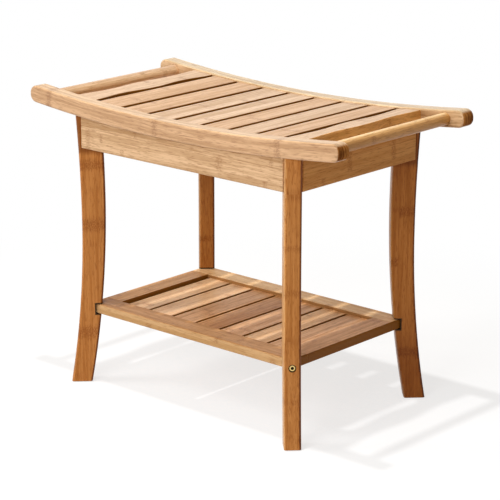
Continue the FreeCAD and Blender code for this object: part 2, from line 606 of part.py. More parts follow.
def make_leg(name, side_x, side_y):
    """Sabre leg: two arcs meeting at the waist on each edge, top cut to the rail's underside."""
    body = new_body(name)
    angle = on_diagonal(body, side_x, side_y)
    outline = new_sketch(body, name + "_outline", "XZ_Plane")
    points = {
        "foot_out": ("foot_outer", "pad_thick"), "waist_out": ("outer_waist_reach", "outer_waist"),
        "top_out": ("outer_top", "seat_height"), "top_in": ("inner_top", "seat_height"),
        "waist_in": ("inner_waist_reach", "inner_waist"), "foot_in": ("foot_inner", "pad_thick")}
    at = {key: (number(x), number(z)) for key, (x, z) in points.items()}

    def bow(waist, tip):
        """Centre of the arc that stands upright at the waist and ends at the tip."""
        rise = at[tip][1] - at[waist][1]
        reach = at[tip][0] - at[waist][0]
        return (at[waist][0] + (rise ** 2 + reach ** 2) / (2 * reach), at[waist][1])

    outer_low = arc(outline, bow("waist_out", "foot_out"), at["waist_out"], at["foot_out"])
    outer_high = arc(outline, bow("waist_out", "top_out"), at["top_out"], at["waist_out"])
    top = outline.addGeometry(Part.LineSegment(V(*at["top_out"], 0), V(*at["top_in"], 0)), False)
    inner_high = arc(outline, bow("waist_in", "top_in"), at["top_in"], at["waist_in"])
    inner_low = arc(outline, bow("waist_in", "foot_in"), at["waist_in"], at["foot_in"])
    foot = outline.addGeometry(Part.LineSegment(V(*at["foot_in"], 0), V(*at["foot_out"], 0)), False)
    join(
        outline, (outer_low, 2, foot, 2), (outer_low, 1, outer_high, 2), (outer_high, 1, top, 1),
        (top, 2, inner_high, 1), (inner_high, 2, inner_low, 1), (inner_low, 2, foot, 1))
    for geo, end, key in (
            (foot, 2, "foot_out"), (outer_low, 1, "waist_out"), (top, 1, "top_out"),
            (top, 2, "top_in"), (inner_low, 1, "waist_in"), (foot, 1, "foot_in")):
        fix_point(outline, geo, end, *points[key])
    for geo, end in ((outer_low, 1), (outer_high, 2), (inner_high, 2), (inner_low, 1)):
        outline.addConstraint(Sketcher.Constraint("Horizontal", geo, 3, geo, end))
    extrude(body, "Pad", outline, "leg_thick", both=True)
    low = number("pad_thick")
    high = number("seat_height")
    cheek = number("leg_thick / 2")

    def is_long_edge(edge):
        levels = [p.z for p in ends_of(edge)]
        flat = all(near(z, low) for z in levels) or all(near(z, high) for z in levels)
        return not flat and all(near(abs(p.y), cheek) for p in ends_of(edge) + [middle_of(edge)])

    round_edges(body, name + "_round", is_long_edge, "leg_edge_round")
    spans = ("leg_line / 2", "half_length") if side_x > 0 else ("0 - half_length", "0 - leg_line / 2")
    trim_under_seat(body, name + "_trim", spans[0], spans[1], "%d * leg_line" % side_x, -angle)
    notch = new_sketch(body, name + "_notch", "XZ_Plane")
    rectangle(
        notch, "notch_wall - frame_width", "notch_wall",
        "shelf_bottom - notch_gap", "shelf_height + notch_gap")
    extrude(body, "Pocket", notch, both=True)
    wall = number("notch_wall")
    round_edges(
        body, name + "_notch_round",
        lambda e: runs_along(e, "y") and all(near(p.x, wall) for p in ends_of(e)), "notch_round")
    bolt = new_sketch(body, name + "_bolt_hole", "XZ_Plane", ("0", "shelf_middle", "0"))
    beyond = "bolt_seat + foot_flare + foot_width"
    polygon(bolt, [
        ("notch_wall - 2", "0"), (beyond, "0"), (beyond, "head_hole / 2"), ("bolt_seat", "head_hole / 2"),
        ("bolt_seat", "bolt_hole / 2"), ("notch_wall - 2", "bolt_hole / 2")])
    spin(body, "Groove", bolt)
    insert = new_sketch(body, name + "_insert_hole", "XZ_Plane", ("0", "leg_bolt_height", "0"))
    rectangle(insert, "inner_at_bolt - 10", "leg_insert_end", "0", "insert_diameter / 2 + fit_gap")
    spin(body, "Groove", insert)
    NODES[name] = body


def make_corner_block(name, side_x, side_y):
    """Block glued across the corner, drilled for the leg's bolt."""
    body = new_body(name)
    on_diagonal(body, side_x, side_y)
    plan = new_sketch(body, name + "_outline", "XY_Plane", ("0", "0", "block_bottom"))
    polygon(plan, [
        ("block_inner", "block_inner - block_reach"), ("block_outer", "block_outer - block_reach"),
        ("block_outer", "block_reach - block_outer"), ("block_inner", "block_reach - block_inner")])
    extrude(body, "Pad", plan, "block_height")
    hole = new_sketch(body, name + "_hole", "XZ_Plane", ("0", "leg_bolt_height", "0"))
    rectangle(hole, "block_inner - 5", "block_outer + 5", "0", "bolt_hole / 2")
    spin(body, "Groove", hole)
    NODES[name] = body


def make_bolt(name, side_x, side_y, seat, way, length, level):
    """Hexagon-socket bolt on a diagonal: its head stands on the seat, its shank runs the given way."""
    body = new_body(name)
    on_diagonal(body, side_x, side_y)
    profile = new_sketch(body, name + "_outline", "XZ_Plane", ("0", level, "0"))

    def along(distance):
        return "%s + %d * (%s)" % (seat, way, distance)

    polygon(profile, [
        (along("0 - head_height"), "0"), (along("0 - head_height"), "head_diameter / 2 - end_chamfer"),
        (along("end_chamfer - head_height"), "head_diameter / 2"), (along("0"), "head_diameter / 2"),
        (along("0"), "bolt_diameter / 2"), (along(length), "bolt_diameter / 2"), (along(length), "0")])
    spin(body, "Revolution", profile)
    socket = new_sketch(body, name + "_socket", "YZ_Plane", ("0", level, along("0 - head_height")))
    corner = "socket_size / sqrt(3) * "
    polygon(socket, [(corner + "cos(%d)" % turn, corner + "sin(%d)" % turn) for turn in range(30, 390, 60)])
    extrude(body, "Pocket", socket, "socket_depth", reverse=way > 0)
    return body


def make_insert(name, side_x, side_y, low, high, level):
    """Threaded insert: a plain sleeve round the bolt's end."""
    body = new_body(name)
    on_diagonal(body, side_x, side_y)
    profile = new_sketch(body, name + "_outline", "XZ_Plane", ("0", level, "0"))
    rectangle(profile, low, high, "bolt_diameter / 2 + thread_gap", "insert_diameter / 2")
    spin(body, "Revolution", profile)
    return body


def make_dowel(name, place, side):
    body = new_body(name)
    plan = new_sketch(body, name + "_outline", "XY_Plane", ("0", "0", "dowel_bottom"))
    circle(plan, place + " * slat_pitch", "%d * dowel_y" % side, "dowel_diameter")
    extrude(body, "Pad", plan, "dowel_length")
    return body


def make_foot_pad(name, side_x, side_y):
    body = new_body(name)
    on_diagonal(body, side_x, side_y)
    plan = new_sketch(body, name + "_outline", "XY_Plane")
    rectangle(
        plan, "foot_inner + pad_inset", "foot_outer - pad_inset",
        "pad_inset - leg_thick / 2", "leg_thick / 2 - pad_inset")
    extrude(body, "Pad", plan, "pad_thick")
    return body


def make_group(name, members):
    """Several identical small pieces kept together as one node of separate solids."""
    group = doc.addObject("Part::Compound", name)
    group.Links = members
    doc.recompute()
    NODES[name] = group


def make_shelf_rail(name, side):
    """Long member of the shelf's frame, corners cut to the legs' notches."""
    body = new_body(name)
    face = "%d * shelf_depth / 2" % side
    back = "%d * inside_y" % side
    shoulder = "%d * (shelf_depth / 2 - corner_cut)" % side
    end = "shelf_length / 2"
    cut = "shelf_length / 2 - corner_cut"
    plan = new_sketch(body, name + "_outline", "XY_Plane", ("0", "0", "shelf_bottom"))
    polygon(plan, [
        ("corner_cut - " + end, face), (cut, face), (end, shoulder),
        (end, back), ("0 - " + end, back), ("0 - " + end, shoulder)])
    extrude(body, "Pad", plan, "shelf_thick")
    rim = number(back)

    def is_level(edge):
        points = ends_of(edge)
        return near(points[0].z, points[1].z)

    def is_inside(edge):
        return all(near(p.y, rim) for p in ends_of(edge))

    round_edges(body, name + "_round", lambda e: is_level(e) and not is_inside(e), "shelf_edge_round")
    round_edges(
        body, name + "_inside_round",
        lambda e: runs_along(e, "x") and is_inside(e), "inside_edge_round")
    mortise = new_sketch(body, name + "_mortise", "XZ_Plane", ("0", "0", "%d * inside_y" % -side))
    start = "0 - %g * shelf_pitch" % ((SHELF_SLATS - 1) / 2)
    rectangle(
        mortise, start + " - shelf_slat_width / 2 + tongue_shoulder - fit_gap",
        start + " + shelf_slat_width / 2 - tongue_shoulder + fit_gap",
        "tongue_middle - tongue_thick / 2 - fit_gap", "tongue_middle + tongue_thick / 2 + fit_gap")
    first = extrude(body, "Pocket", mortise, "tongue_length + end_gap", reverse=side < 0)
    before = first.Shape.Volume
    row = body.newObject("PartDesign::LinearPattern", name + "_mortise_row")
    row.Originals = [first]
    row.Direction = (mortise, ["H_Axis"])
    row.Mode = "Extent"
    row.Length = number("%d * shelf_pitch" % (SHELF_SLATS - 1))
    bind(row, "Length", "%d * shelf_pitch" % (SHELF_SLATS - 1))
    row.Occurrences = SHELF_SLATS
    body.Tip = row
    doc.recompute()
    if not row.Shape.Volume < before - 1e-6:
        raise RuntimeError("no row of mortises in " + name)
    stiles = new_sketch(body, name + "_stile_mortise", "XZ_Plane", ("0", "0", "%d * inside_y" % -side))
    for near_x, far_x in (
            ("inside_x + stile_shoulder - fit_gap", "shelf_length / 2 - stile_shoulder + fit_gap"),
            ("stile_shoulder - shelf_length / 2 - fit_gap", "fit_gap - inside_x - stile_shoulder")):
        rectangle(
            stiles, near_x, far_x, "shelf_middle - stile_tenon_thick / 2 - fit_gap",
            "shelf_middle + stile_tenon_thick / 2 + fit_gap")
    extrude(body, "Pocket", stiles, "stile_tenon + end_gap", reverse=side < 0)
    for hand, side_x in (("left", -1), ("right", 1)):
        angle = math.degrees(math.atan2(side, side_x))
        hole = new_sketch(
            body, "%s_%s_insert_hole" % (name, hand), "XY_Plane",
            ("%d * leg_line" % side_x, "0", "shelf_middle"), V(0, 0, 1), angle)
        rectangle(hole, "shelf_insert_end", "notch_wall + 10", "0", "insert_diameter / 2 + fit_gap")
        spin(body, "Groove", hole)
    NODES[name] = body


def make_shelf_stile(name, side):
    """Short member of the shelf's frame, tenoned into the rails."""
    body = new_body(name)
    ends = ("inside_x", "shelf_length / 2")
    if side < 0:
        ends = ("0 - shelf_length / 2", "0 - inside_x")
    board = new_sketch(body, name + "_board", "XZ_Plane")
    rectangle(board, ends[0], ends[1], "shelf_bottom", "shelf_height")
    extrude(body, "Pad", board, "2 * inside_y", both=True)
    rim = number("%d * shelf_length / 2" % side)
    round_edges(
        body, name + "_round",
        lambda e: runs_along(e, "y") and near(ends_of(e)[0].x, rim), "shelf_edge_round")
    edge = number("%d * inside_x" % side)
    round_edges(
        body, name + "_inside_round",
        lambda e: runs_along(e, "y") and near(ends_of(e)[0].x, edge), "inside_edge_round")
    tenon = new_sketch(body, name + "_tenon", "XZ_Plane")
    rectangle(
        tenon, ends[0] + " + stile_shoulder", ends[1] + " - stile_shoulder",
        "shelf_middle - stile_tenon_thick / 2", "shelf_middle + stile_tenon_thick / 2")
    extrude(body, "Pad", tenon, "2 * (inside_y + stile_tenon)", both=True)
    NODES[name] = body


def make_shelf_slat(number_in_row):
    """Thin slat with a tongue each end, set below the frame's top."""
    name = "shelf_slat_%d" % number_in_row
    body = new_body(name)
    middle = "%g * shelf_pitch" % (number_in_row - (SHELF_SLATS + 1) / 2)
    board = new_sketch(body, name + "_board", "XZ_Plane")
    rectangle(
        board, middle + " - shelf_slat_width / 2", middle + " + shelf_slat_width / 2",
        "shelf_slat_top - shelf_slat_thick", "shelf_slat_top")
    extrude(body, "Pad", board, "2 * inside_y", both=True)
    level = number("shelf_slat_top")
    round_edges(
        body, name + "_round",
        lambda e: runs_along(e, "y") and near(ends_of(e)[0].z, level), "shelf_slat_round")
    tongue = new_sketch(body, name + "_tongue", "XZ_Plane")
    half = "shelf_slat_width / 2 - tongue_shoulder"
    rectangle(
        tongue, middle + " - (" + half + ")", middle + " + (" + half + ")",
        "tongue_middle - tongue_thick / 2", "tongue_middle + tongue_thick / 2")
    extrude(body, "Pad", tongue, "2 * (inside_y + tongue_length)", both=True)
    NODES[name] = body


make_seat_rail("front_seat_rail", -1)
make_seat_rail("rear_seat_rail", 1)
for row_place in range(1, SEAT_SLATS + 1):
    make_seat_slat(row_place)
make_handle_rod("left_handle_rod", -1)
make_handle_rod("right_handle_rod", 1)
make_long_apron("front_apron", -1)
make_long_apron("rear_apron", 1)
make_end_apron("left_end_apron", -1)
make_end_apron("right_end_apron", 1)
for corner, corner_x, corner_y in CORNERS:
    make_leg(corner + "_leg", corner_x, corner_y)
    make_corner_block("corner_block_" + corner, corner_x, corner_y)
make_shelf_rail("shelf_front_rail", -1)
make_shelf_rail("shelf_rear_rail", 1)
make_shelf_stile("shelf_left_stile", -1)
make_shelf_stile("shelf_right_stile", 1)
for row_place in range(1, SHELF_SLATS + 1):
    make_shelf_slat(row_place)
make_group("shelf_bolts", [
    make_bolt("shelf_bolt_" + corner, x, y, "bolt_seat", -1, "shelf_bolt_length", "shelf_middle")
    for corner, x, y in CORNERS])
make_group("shelf_insert_nuts", [
    make_insert("shelf_insert_" + corner, x, y, "shelf_insert_end", "notch_wall - end_gap", "shelf_middle")
    for corner, x, y in CORNERS])
make_group("leg_bolts", [
    make_bolt("leg_bolt_" + corner, x, y, "block_inner", 1, "leg_bolt_length", "leg_bolt_height")
    for corner, x, y in CORNERS])
make_group("leg_insert_nuts", [
    make_insert("leg_insert_" + corner, x, y, "inner_at_bolt + end_gap", "leg_insert_end", "leg_bolt_height")
    for corner, x, y in CORNERS])
make_group("rail_dowels", [
    make_dowel("dowel_%s_%d" % (row_name, i), place, side)
    for row_name, side in (("front", -1), ("rear", 1))
    for i, place in enumerate(("-2.5", "-0.5", "0.5", "2.5"), 1)])
make_group("foot_pads", [make_foot_pad("foot_pad_" + corner, x, y) for corner, x, y in CORNERS])

doc.recompute()
for item in doc.Objects:
    if "Invalid" in item.State or "Error" in item.State:
        raise RuntimeError("not built: " + item.Name)
for node, item in NODES.items():
    shape = item.Shape
    if shape.isNull() or not shape.isValid() or not shape.Solids:
        raise RuntimeError("bad shape: " + node)
    shape.exportStep("parts/" + node + ".step")
    box = shape.BoundBox
    print("%-26s solids %d  volume %9.0f  X %.1f..%.1f  Y %.1f..%.1f  Z %.1f..%.1f" % (
        node, len(shape.Solids), shape.Volume, box.XMin, box.XMax, box.YMin, box.YMax, box.ZMin, box.ZMax))
print(len(NODES), "nodes")
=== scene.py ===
# %% [markdown]
# # A bamboo shower stool
#
# This lesson dresses a slatted bamboo stool whose pieces were built as solids. The solids arrive as
# a fixed frame in metres: X along the seat, Y to the back, Z up. Nothing here moves or reshapes
# them. The work is in the finishes: laminated bamboo that follows each piece, brass bolts and
# rubber pads.

import math
from collections import namedtuple

import bmesh
import bpy
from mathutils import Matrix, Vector

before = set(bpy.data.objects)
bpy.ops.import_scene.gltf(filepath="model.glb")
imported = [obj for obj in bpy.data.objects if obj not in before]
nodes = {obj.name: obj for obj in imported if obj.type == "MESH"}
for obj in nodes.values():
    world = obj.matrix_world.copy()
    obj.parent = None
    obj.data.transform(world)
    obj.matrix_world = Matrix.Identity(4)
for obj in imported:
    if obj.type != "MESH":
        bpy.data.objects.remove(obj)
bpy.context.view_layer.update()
print("pieces in the frame:", len(nodes))

# %% [markdown]
# ## Where the camera stands
#
# The stool is seen from its front right, a little above the seat, from far enough away that the
# long lines hardly converge. A long lens on a distant camera gives that. The place and the target
# were found by fitting the stool's known edges to the picture, so they are plain numbers here.

# %% Camera
CAMERA_PLACE = (2.0000, -2.2335, 1.0896)
CAMERA_TARGET = (0.00449, 0.00400, 0.22192)
SENSOR_WIDTH_MM = 36.0
LENS_MM = 147.84


def aim(thing, place, target):
    """Put a camera or a lamp in its place and turn it towards a target."""
    thing.location = place
    thing.rotation_euler = (Vector(target) - Vector(place)).to_track_quat("-Z", "Y").to_euler()
    bpy.context.scene.collection.objects.link(thing)


camera_data = bpy.data.cameras.new("stool_camera")
camera_data.sensor_width = SENSOR_WIDTH_MM
camera_data.lens = LENS_MM
camera = bpy.data.objects.new("stool_camera", camera_data)
aim(camera, CAMERA_PLACE, CAMERA_TARGET)
bpy.context.scene.camera = camera
bpy.context.scene.view_settings.view_transform = "Standard"
print("camera is %.2f m from its target" % (Vector(CAMERA_PLACE) - Vector(CAMERA_TARGET)).length)

# %% [markdown]
# ## Studio light
#
# A small lamp high over the seat does most of the work: it brightens everything that faces up and
# throws thin bars of light through the seat's gaps onto the shelf. A wide panel low in front and a
# smaller one high on the left fill the front faces and leave the right-hand faces in their own
# warm shade. The lamps stay out of reflections, so the lacquer mirrors only the white room.

# %% Lamps
SEAT_MIDDLE = (0.0, 0.0, 0.44)
BODY_MIDDLE = (0.0, 0.0, 0.28)


def add_lamp(name, place, target, width, height, watts):
    """A rectangular area lamp, given in metres and watts."""
    panel = bpy.data.lights.new(name, "AREA")
    panel.shape = "RECTANGLE"
    panel.size = width
    panel.size_y = height
    panel.energy = watts
    lamp = bpy.data.objects.new(name, panel)
    lamp.visible_glossy = False
    aim(lamp, place, target)


add_lamp(
    "overhead_key", (-0.05, -0.31, 2.94), SEAT_MIDDLE, width=0.085, height=0.085, watts=43.0)
add_lamp("front_fill", (0.28, -1.58, 0.95), BODY_MIDDLE, width=1.0, height=0.6, watts=15.8)
add_lamp("left_fill", (-1.35, -1.20, 1.60), BODY_MIDDLE, width=0.6, height=0.6, watts=18.0)

# %% [markdown]
# ## Small helpers for node trees
#
# A material in Blender is a tree of nodes. Writing every node and link by hand is long and easy to
# get wrong, so a few helpers add a node and wire its inputs in one line. An input that is given a
# socket is linked; one that is given a number or a colour is set.

# %% Add, set and link
def set_input(tree, node, key, value):
    """Link a socket to an input, or set the input to a plain value."""
    socket = node.inputs[int(key)] if key.isdigit() else node.inputs[key]
    if isinstance(value, bpy.types.NodeSocket):
        tree.links.new(value, socket)
    else:
        socket.default_value = value


def add_node(tree, kind, settings=None, **inputs):
    """Add a node, set its properties, then set or link its inputs by name."""
    node = tree.nodes.new(kind)
    for key, value in (settings or {}).items():
        setattr(node, key, value)
    for key, value in inputs.items():
        set_input(tree, node, key.replace("_", " "), value)
    return node


def fill_inputs(tree, node, values):
    """Set or link a node's inputs in their order; None leaves one as it is."""
    for index, value in enumerate(values):
        if value is not None:
            set_input(tree, node, str(index), value)
    return node.outputs[0]


print("wiring helpers:", [tool.__name__ for tool in (set_input, add_node, fill_inputs)])

# %% [markdown]
# ## Sums, steps and blends
#
# Most of a procedural finish is arithmetic on distances. One helper makes a single sum, one makes a
# smooth step between two limits, one measures a length, and one blends two shaders. The last tells
# rays that look straight at a surface, or at its mirror image, from the light that bounces about.

# %% Arithmetic in a node tree
def compute(tree, operation, first, second=None, third=None, clamp=False):
    """One Math node; returns its result."""
    node = add_node(tree, "ShaderNodeMath", {"operation": operation, "use_clamp": clamp})
    return fill_inputs(tree, node, (first, second, third))


def fade(tree, value, low, high, to_low=0.0, to_high=1.0):
    """Smooth step from one value to another between two limits."""
    node = add_node(tree, "ShaderNodeMapRange", {"interpolation_type": "SMOOTHSTEP"})
    return fill_inputs(tree, node, (value, low, high, to_low, to_high))


def as_vector(tree, x, y, z):
    """Three numbers as one vector."""
    return fill_inputs(tree, add_node(tree, "ShaderNodeCombineXYZ"), (x, y, z))


def length_of(tree, vector):
    """The length of a vector."""
    node = add_node(tree, "ShaderNodeVectorMath", {"operation": "LENGTH"})
    tree.links.new(vector, node.inputs[0])
    return node.outputs["Value"]


def mix_shaders(tree, amount, first, second):
    """Blend two shaders by an amount."""
    return fill_inputs(tree, add_node(tree, "ShaderNodeMixShader"), (amount, first, second))


def seen_directly(tree):
    """1 for rays from the camera, a mirror or clear glass, 0 for light that bounces about."""
    path = add_node(tree, "ShaderNodeLightPath").outputs
    mirrored = compute(tree, "MAXIMUM", path["Is Glossy Ray"], path["Is Transmission Ray"])
    return compute(tree, "MAXIMUM", path["Is Camera Ray"], mirrored)


sums = (compute, fade, as_vector, length_of, mix_shaders, seen_directly)
print("arithmetic helpers:", [tool.__name__ for tool in sums])

# %% [markdown]
# ## Air
#
# A studio shot has a plain white background. If the whole world were that white, it would wash out
# every shadow, so it is white only where the camera or a reflection looks at it. For the light it
# gives to the stool it is a quiet, slightly warm grey.

# %% World
AIR_TONE, AIR_STRENGTH = (1.0, 0.88, 0.74, 1.0), 0.27
WHITE = (1.0, 1.0, 1.0, 1.0)

world = bpy.data.worlds.new("studio")
world.use_nodes = True
bpy.context.scene.world = world
air = world.node_tree
air.nodes.clear()
quiet = add_node(air, "ShaderNodeBackground", Color=AIR_TONE, Strength=AIR_STRENGTH)
white = add_node(air, "ShaderNodeBackground", Color=WHITE, Strength=1.0)
sky = mix_shaders(air, seen_directly(air), quiet.outputs[0], white.outputs[0])
add_node(air, "ShaderNodeOutputWorld", Surface=sky)
print("world nodes:", len(air.nodes))

# %% [markdown]
# ## Floor
#
# The stool needs a floor to stand on, or it seems to float. A wide disc takes its shadow.

# %% Floor disc
FLOOR_RADIUS = 6.0
FLOOR_SIDES = 96

floor_mesh = bpy.data.meshes.new("floor")
disc = bmesh.new()
bmesh.ops.create_circle(disc, cap_ends=True, segments=FLOOR_SIDES, radius=FLOOR_RADIUS)
disc.to_mesh(floor_mesh)
disc.free()
floor = bpy.data.objects.new("floor", floor_mesh)
bpy.context.scene.collection.objects.link(floor)
print("floor faces:", len(floor_mesh.polygons))

# %% [markdown]
# The floor's paint works like the air. Seen directly, it is a pale matt surface near the stool and
# fades to plain white before it leaves the picture. For bouncing light it is a duller tan, which
# sends a little warmth up under the shelf and the seat.

# %% Floor paint
FLOOR_GREY = (0.30, 0.30, 0.30, 1.0)
FLOOR_BOUNCE = (0.60, 0.52, 0.42, 1.0)
FLOOR_LIFT = 0.72
SHADOW_END, WHITE_START = 0.35, 0.95

floor_paint = bpy.data.materials.new("floor_paint")
floor_paint.use_nodes = True
paint = floor_paint.node_tree
paint.nodes.clear()
matt = add_node(paint, "ShaderNodeBsdfDiffuse", Color=FLOOR_GREY)
lift = add_node(paint, "ShaderNodeEmission", Strength=FLOOR_LIFT)
near_stool = fill_inputs(
    paint, add_node(paint, "ShaderNodeAddShader"), (matt.outputs[0], lift.outputs[0]))
plain_white = add_node(paint, "ShaderNodeEmission", Strength=1.0)
from_middle = length_of(paint, add_node(paint, "ShaderNodeTexCoord").outputs["Object"])
far = fade(paint, from_middle, SHADOW_END, WHITE_START)
shown = mix_shaders(paint, far, near_stool, plain_white.outputs[0])
bounce = add_node(paint, "ShaderNodeBsdfDiffuse", Color=FLOOR_BOUNCE)
floor_look = mix_shaders(paint, seen_directly(paint), bounce.outputs[0], shown)
add_node(paint, "ShaderNodeOutputMaterial", Surface=floor_look)
floor_mesh.materials.append(floor_paint)
print("floor paint nodes:", len(paint.nodes))

# %% [markdown]
# ## What laminated bamboo looks like
#
# Bamboo boards are glued up from strips of split stalk. Each strip has its own tone, and fine
# fibres run along it. One node group gives all of that from three distances: along the piece,
# across the strips and through the layers. Each material then feeds it its own directions, so the
# same bamboo can run lengthways in a rail and upright in a leg. First, every strip in every layer
# gets a number, and the number draws its chance values.

# %% Strips and layers
def new_group(name, inputs, outputs):
    """A node group with named number sockets: the tree, what it is given and what it makes."""
    tree = bpy.data.node_groups.new(name, "ShaderNodeTree")
    for label in inputs:
        tree.interface.new_socket(label, in_out="INPUT", socket_type="NodeSocketFloat")
    for label in outputs:
        tree.interface.new_socket(label, in_out="OUTPUT", socket_type="NodeSocketFloat")
    return tree, tree.nodes.new("NodeGroupInput").outputs, tree.nodes.new("NodeGroupOutput").inputs


grain, given, made = new_group(
    "bamboo_grain",
    ["Along", "Across", "Through", "Strip Width", "Layer Depth", "Seed"],
    ["Tone", "Phase", "Fibre", "Dash", "Ragged", "Mottle", "Glue Line", "Height"])
along, across, through = given["Along"], given["Across"], given["Through"]
strip_width = given["Strip Width"]
strip_place = compute(grain, "DIVIDE", across, strip_width)
strip = compute(grain, "FLOOR", strip_place)
layer = compute(grain, "FLOOR", compute(grain, "DIVIDE", through, given["Layer Depth"]))
chance = add_node(
    grain, "ShaderNodeTexWhiteNoise", {"noise_dimensions": "3D"},
    Vector=as_vector(grain, strip, layer, given["Seed"]))
chances = add_node(grain, "ShaderNodeSeparateColor", Color=chance.outputs["Color"]).outputs
grain.links.new(chance.outputs["Value"], made["Tone"])
grain.links.new(chances[2], made["Phase"])
print("grain nodes so far:", len(grain.nodes))

# %% [markdown]
# ## Fibres and dashes
#
# Noise that is drawn out along the strip looks like fibre. Two sizes are added: broad streaks for
# the bundles and fine ones for single fibres. A third, shorter one is cut off high, so that only
# its peaks stay: those are the short dark dashes that tell bamboo from wood. The chance values
# shift the noise from strip to strip, so no two neighbours match.

# %% Streaks inside each strip
STREAK_ROUGHNESS = 0.62
BROAD = {"along_rate": 4.0, "across_rate": 150.0, "detail": 2.0}
FINE = {"along_rate": 20.0, "across_rate": 420.0, "detail": 3.0}
SHORT = {"along_rate": 60.0, "across_rate": 560.0, "detail": 2.0}
BROAD_SHARE, FINE_SHARE = 0.6, 0.4
FIBRE_PALE, FIBRE_DEEP = 0.41, 0.59
DASH_START, DASH_FULL = 0.52, 0.66
SHIFT_ALONG, SHIFT_ACROSS = 7.0, 5.0
shift = compute(grain, "MULTIPLY", chances[0], SHIFT_ALONG)
drift = compute(grain, "MULTIPLY", chances[1], SHIFT_ACROSS)


def streaks(along_rate, across_rate, detail):
    """Noise drawn out along the strip, different in every strip."""
    stretched = as_vector(
        grain,
        compute(grain, "MULTIPLY_ADD", along, along_rate, shift),
        compute(grain, "MULTIPLY_ADD", across, across_rate, drift),
        compute(grain, "MULTIPLY", through, across_rate))
    noise = add_node(
        grain, "ShaderNodeTexNoise", {"noise_dimensions": "3D"},
        Vector=stretched, Scale=1.0, Detail=detail, Roughness=STREAK_ROUGHNESS)
    return noise.outputs[0]


fine_part = compute(grain, "MULTIPLY", streaks(**FINE), FINE_SHARE)
fibre = compute(grain, "MULTIPLY_ADD", streaks(**BROAD), BROAD_SHARE, fine_part)
dash = fade(grain, streaks(**SHORT), DASH_START, DASH_FULL)
grain.links.new(fade(grain, fibre, FIBRE_PALE, FIBRE_DEEP), made["Fibre"])
grain.links.new(dash, made["Dash"])
print("grain nodes with fibres:", len(grain.nodes))

# %% [markdown]
# ## Glue lines and relief
#
# A thin dark line of glue lies where two strips meet; its strength follows the distance to the edge
# of the strip. The group also hands out two more noises, which the joints of the stalk need for
# their ragged sides and mottled bodies, and a height: fibres stand up a little, dashes lie deeper.

# %% Glue lines, noises for the joints, height
RAGGED = {"along_rate": 45.0, "across_rate": 520.0, "detail": 2.0}
MOTTLED = {"along_rate": 330.0, "across_rate": 560.0, "detail": 2.0}
MOTTLE_START, MOTTLE_FULL = 0.40, 0.60
GLUE_FULL, GLUE_GONE = 0.0001, 0.0006
DASH_DROP = -0.5

from_middle = compute(grain, "SUBTRACT", compute(grain, "FRACT", strip_place), 0.5)
to_edge = compute(grain, "SUBTRACT", 0.5, compute(grain, "ABSOLUTE", from_middle))
to_edge = compute(grain, "MULTIPLY", to_edge, strip_width)
grain.links.new(fade(grain, to_edge, GLUE_FULL, GLUE_GONE, 1.0, 0.0), made["Glue Line"])
grain.links.new(compute(grain, "SUBTRACT", streaks(**RAGGED), 0.5), made["Ragged"])
mottle = fade(grain, streaks(**MOTTLED), MOTTLE_START, MOTTLE_FULL)
grain.links.new(mottle, made["Mottle"])
grain.links.new(compute(grain, "MULTIPLY_ADD", dash, DASH_DROP, fibre), made["Height"])
print("grain nodes in all:", len(grain.nodes))

# %% [markdown]
# ## Joints of the stalk
#
# Where a strip crosses a joint of the stalk, a ragged band of short dark dashes lies across it. On
# the pieces that face the camera the bands have known places, so each is listed at its place, on
# all strips or only between two distances across the piece.

# %% A band at a known place
RAGGED_REACH = 2.5
BAND_FULL, BAND_GONE = 0.4, 1.4
MOTTLE_SHARE = 0.75


def band_shape(tree, distance, given):
    """Mask of one band by the distance from its middle: ragged sides, mottled inside."""
    share = compute(tree, "DIVIDE", distance, given["Reach"])
    share = compute(tree, "MULTIPLY_ADD", given["Ragged"], RAGGED_REACH, share)
    body = fade(tree, share, BAND_FULL, BAND_GONE, 1.0, 0.0)
    speckle = compute(tree, "MULTIPLY_ADD", given["Mottle"], MOTTLE_SHARE, 1.0 - MOTTLE_SHARE)
    return compute(tree, "MULTIPLY", body, speckle)


placed, given, made = new_group(
    "joint_at", ["Along", "Across", "Place", "Low", "High", "Reach", "Ragged", "Mottle"], ["Mark"])
distance = compute(
    placed, "ABSOLUTE", compute(placed, "SUBTRACT", given["Along"], given["Place"]))
above = compute(placed, "GREATER_THAN", given["Across"], given["Low"])
below = compute(placed, "LESS_THAN", given["Across"], given["High"])
within = compute(placed, "MULTIPLY", above, below)
mark = compute(placed, "MULTIPLY", band_shape(placed, distance, given), within)
placed.links.new(mark, made["Mark"])
print("nodes for a joint at a place:", len(placed.nodes))

# %% [markdown]
# On the pieces that are hardly seen nobody knows where the joints lie. A stalk has one every two or
# three hand-widths, so there the bands repeat at a plain spacing, and each strip starts its row at
# its own phase.

# %% A row of bands
spaced, given, made = new_group(
    "joint_row", ["Along", "Phase", "Spacing", "Reach", "Ragged", "Mottle"], ["Mark"])
turns = compute(spaced, "DIVIDE", given["Along"], given["Spacing"])
beat = compute(spaced, "FRACT", compute(spaced, "ADD", turns, given["Phase"]))
beat = compute(spaced, "ABSOLUTE", compute(spaced, "SUBTRACT", beat, 0.5))
distance = compute(spaced, "MULTIPLY", beat, given["Spacing"])
spaced.links.new(band_shape(spaced, distance, given), made["Mark"])
print("nodes for a row of joints:", len(spaced.nodes))

# %% [markdown]
# ## End grain
#
# Across a cut end the layers of a laminated rail show edge on, as dark and light upright lines. A
# group makes those lines from the distance through the layers, and lets the rail's inner side stay
# paler than its outer side.

# %% Layers of a cut end
END_UP_RATE, END_THROUGH_RATE = 45.0, 420.0
RAIL_INNER_SIDE, RAIL_OUTER_SIDE = 0.128, 0.154
INNER_LIFT, OUTER_LIFT = 0.45, -0.25
LINE_DARK, LINE_PALE, LINE_STRENGTH = 0.38, 0.62, 0.75

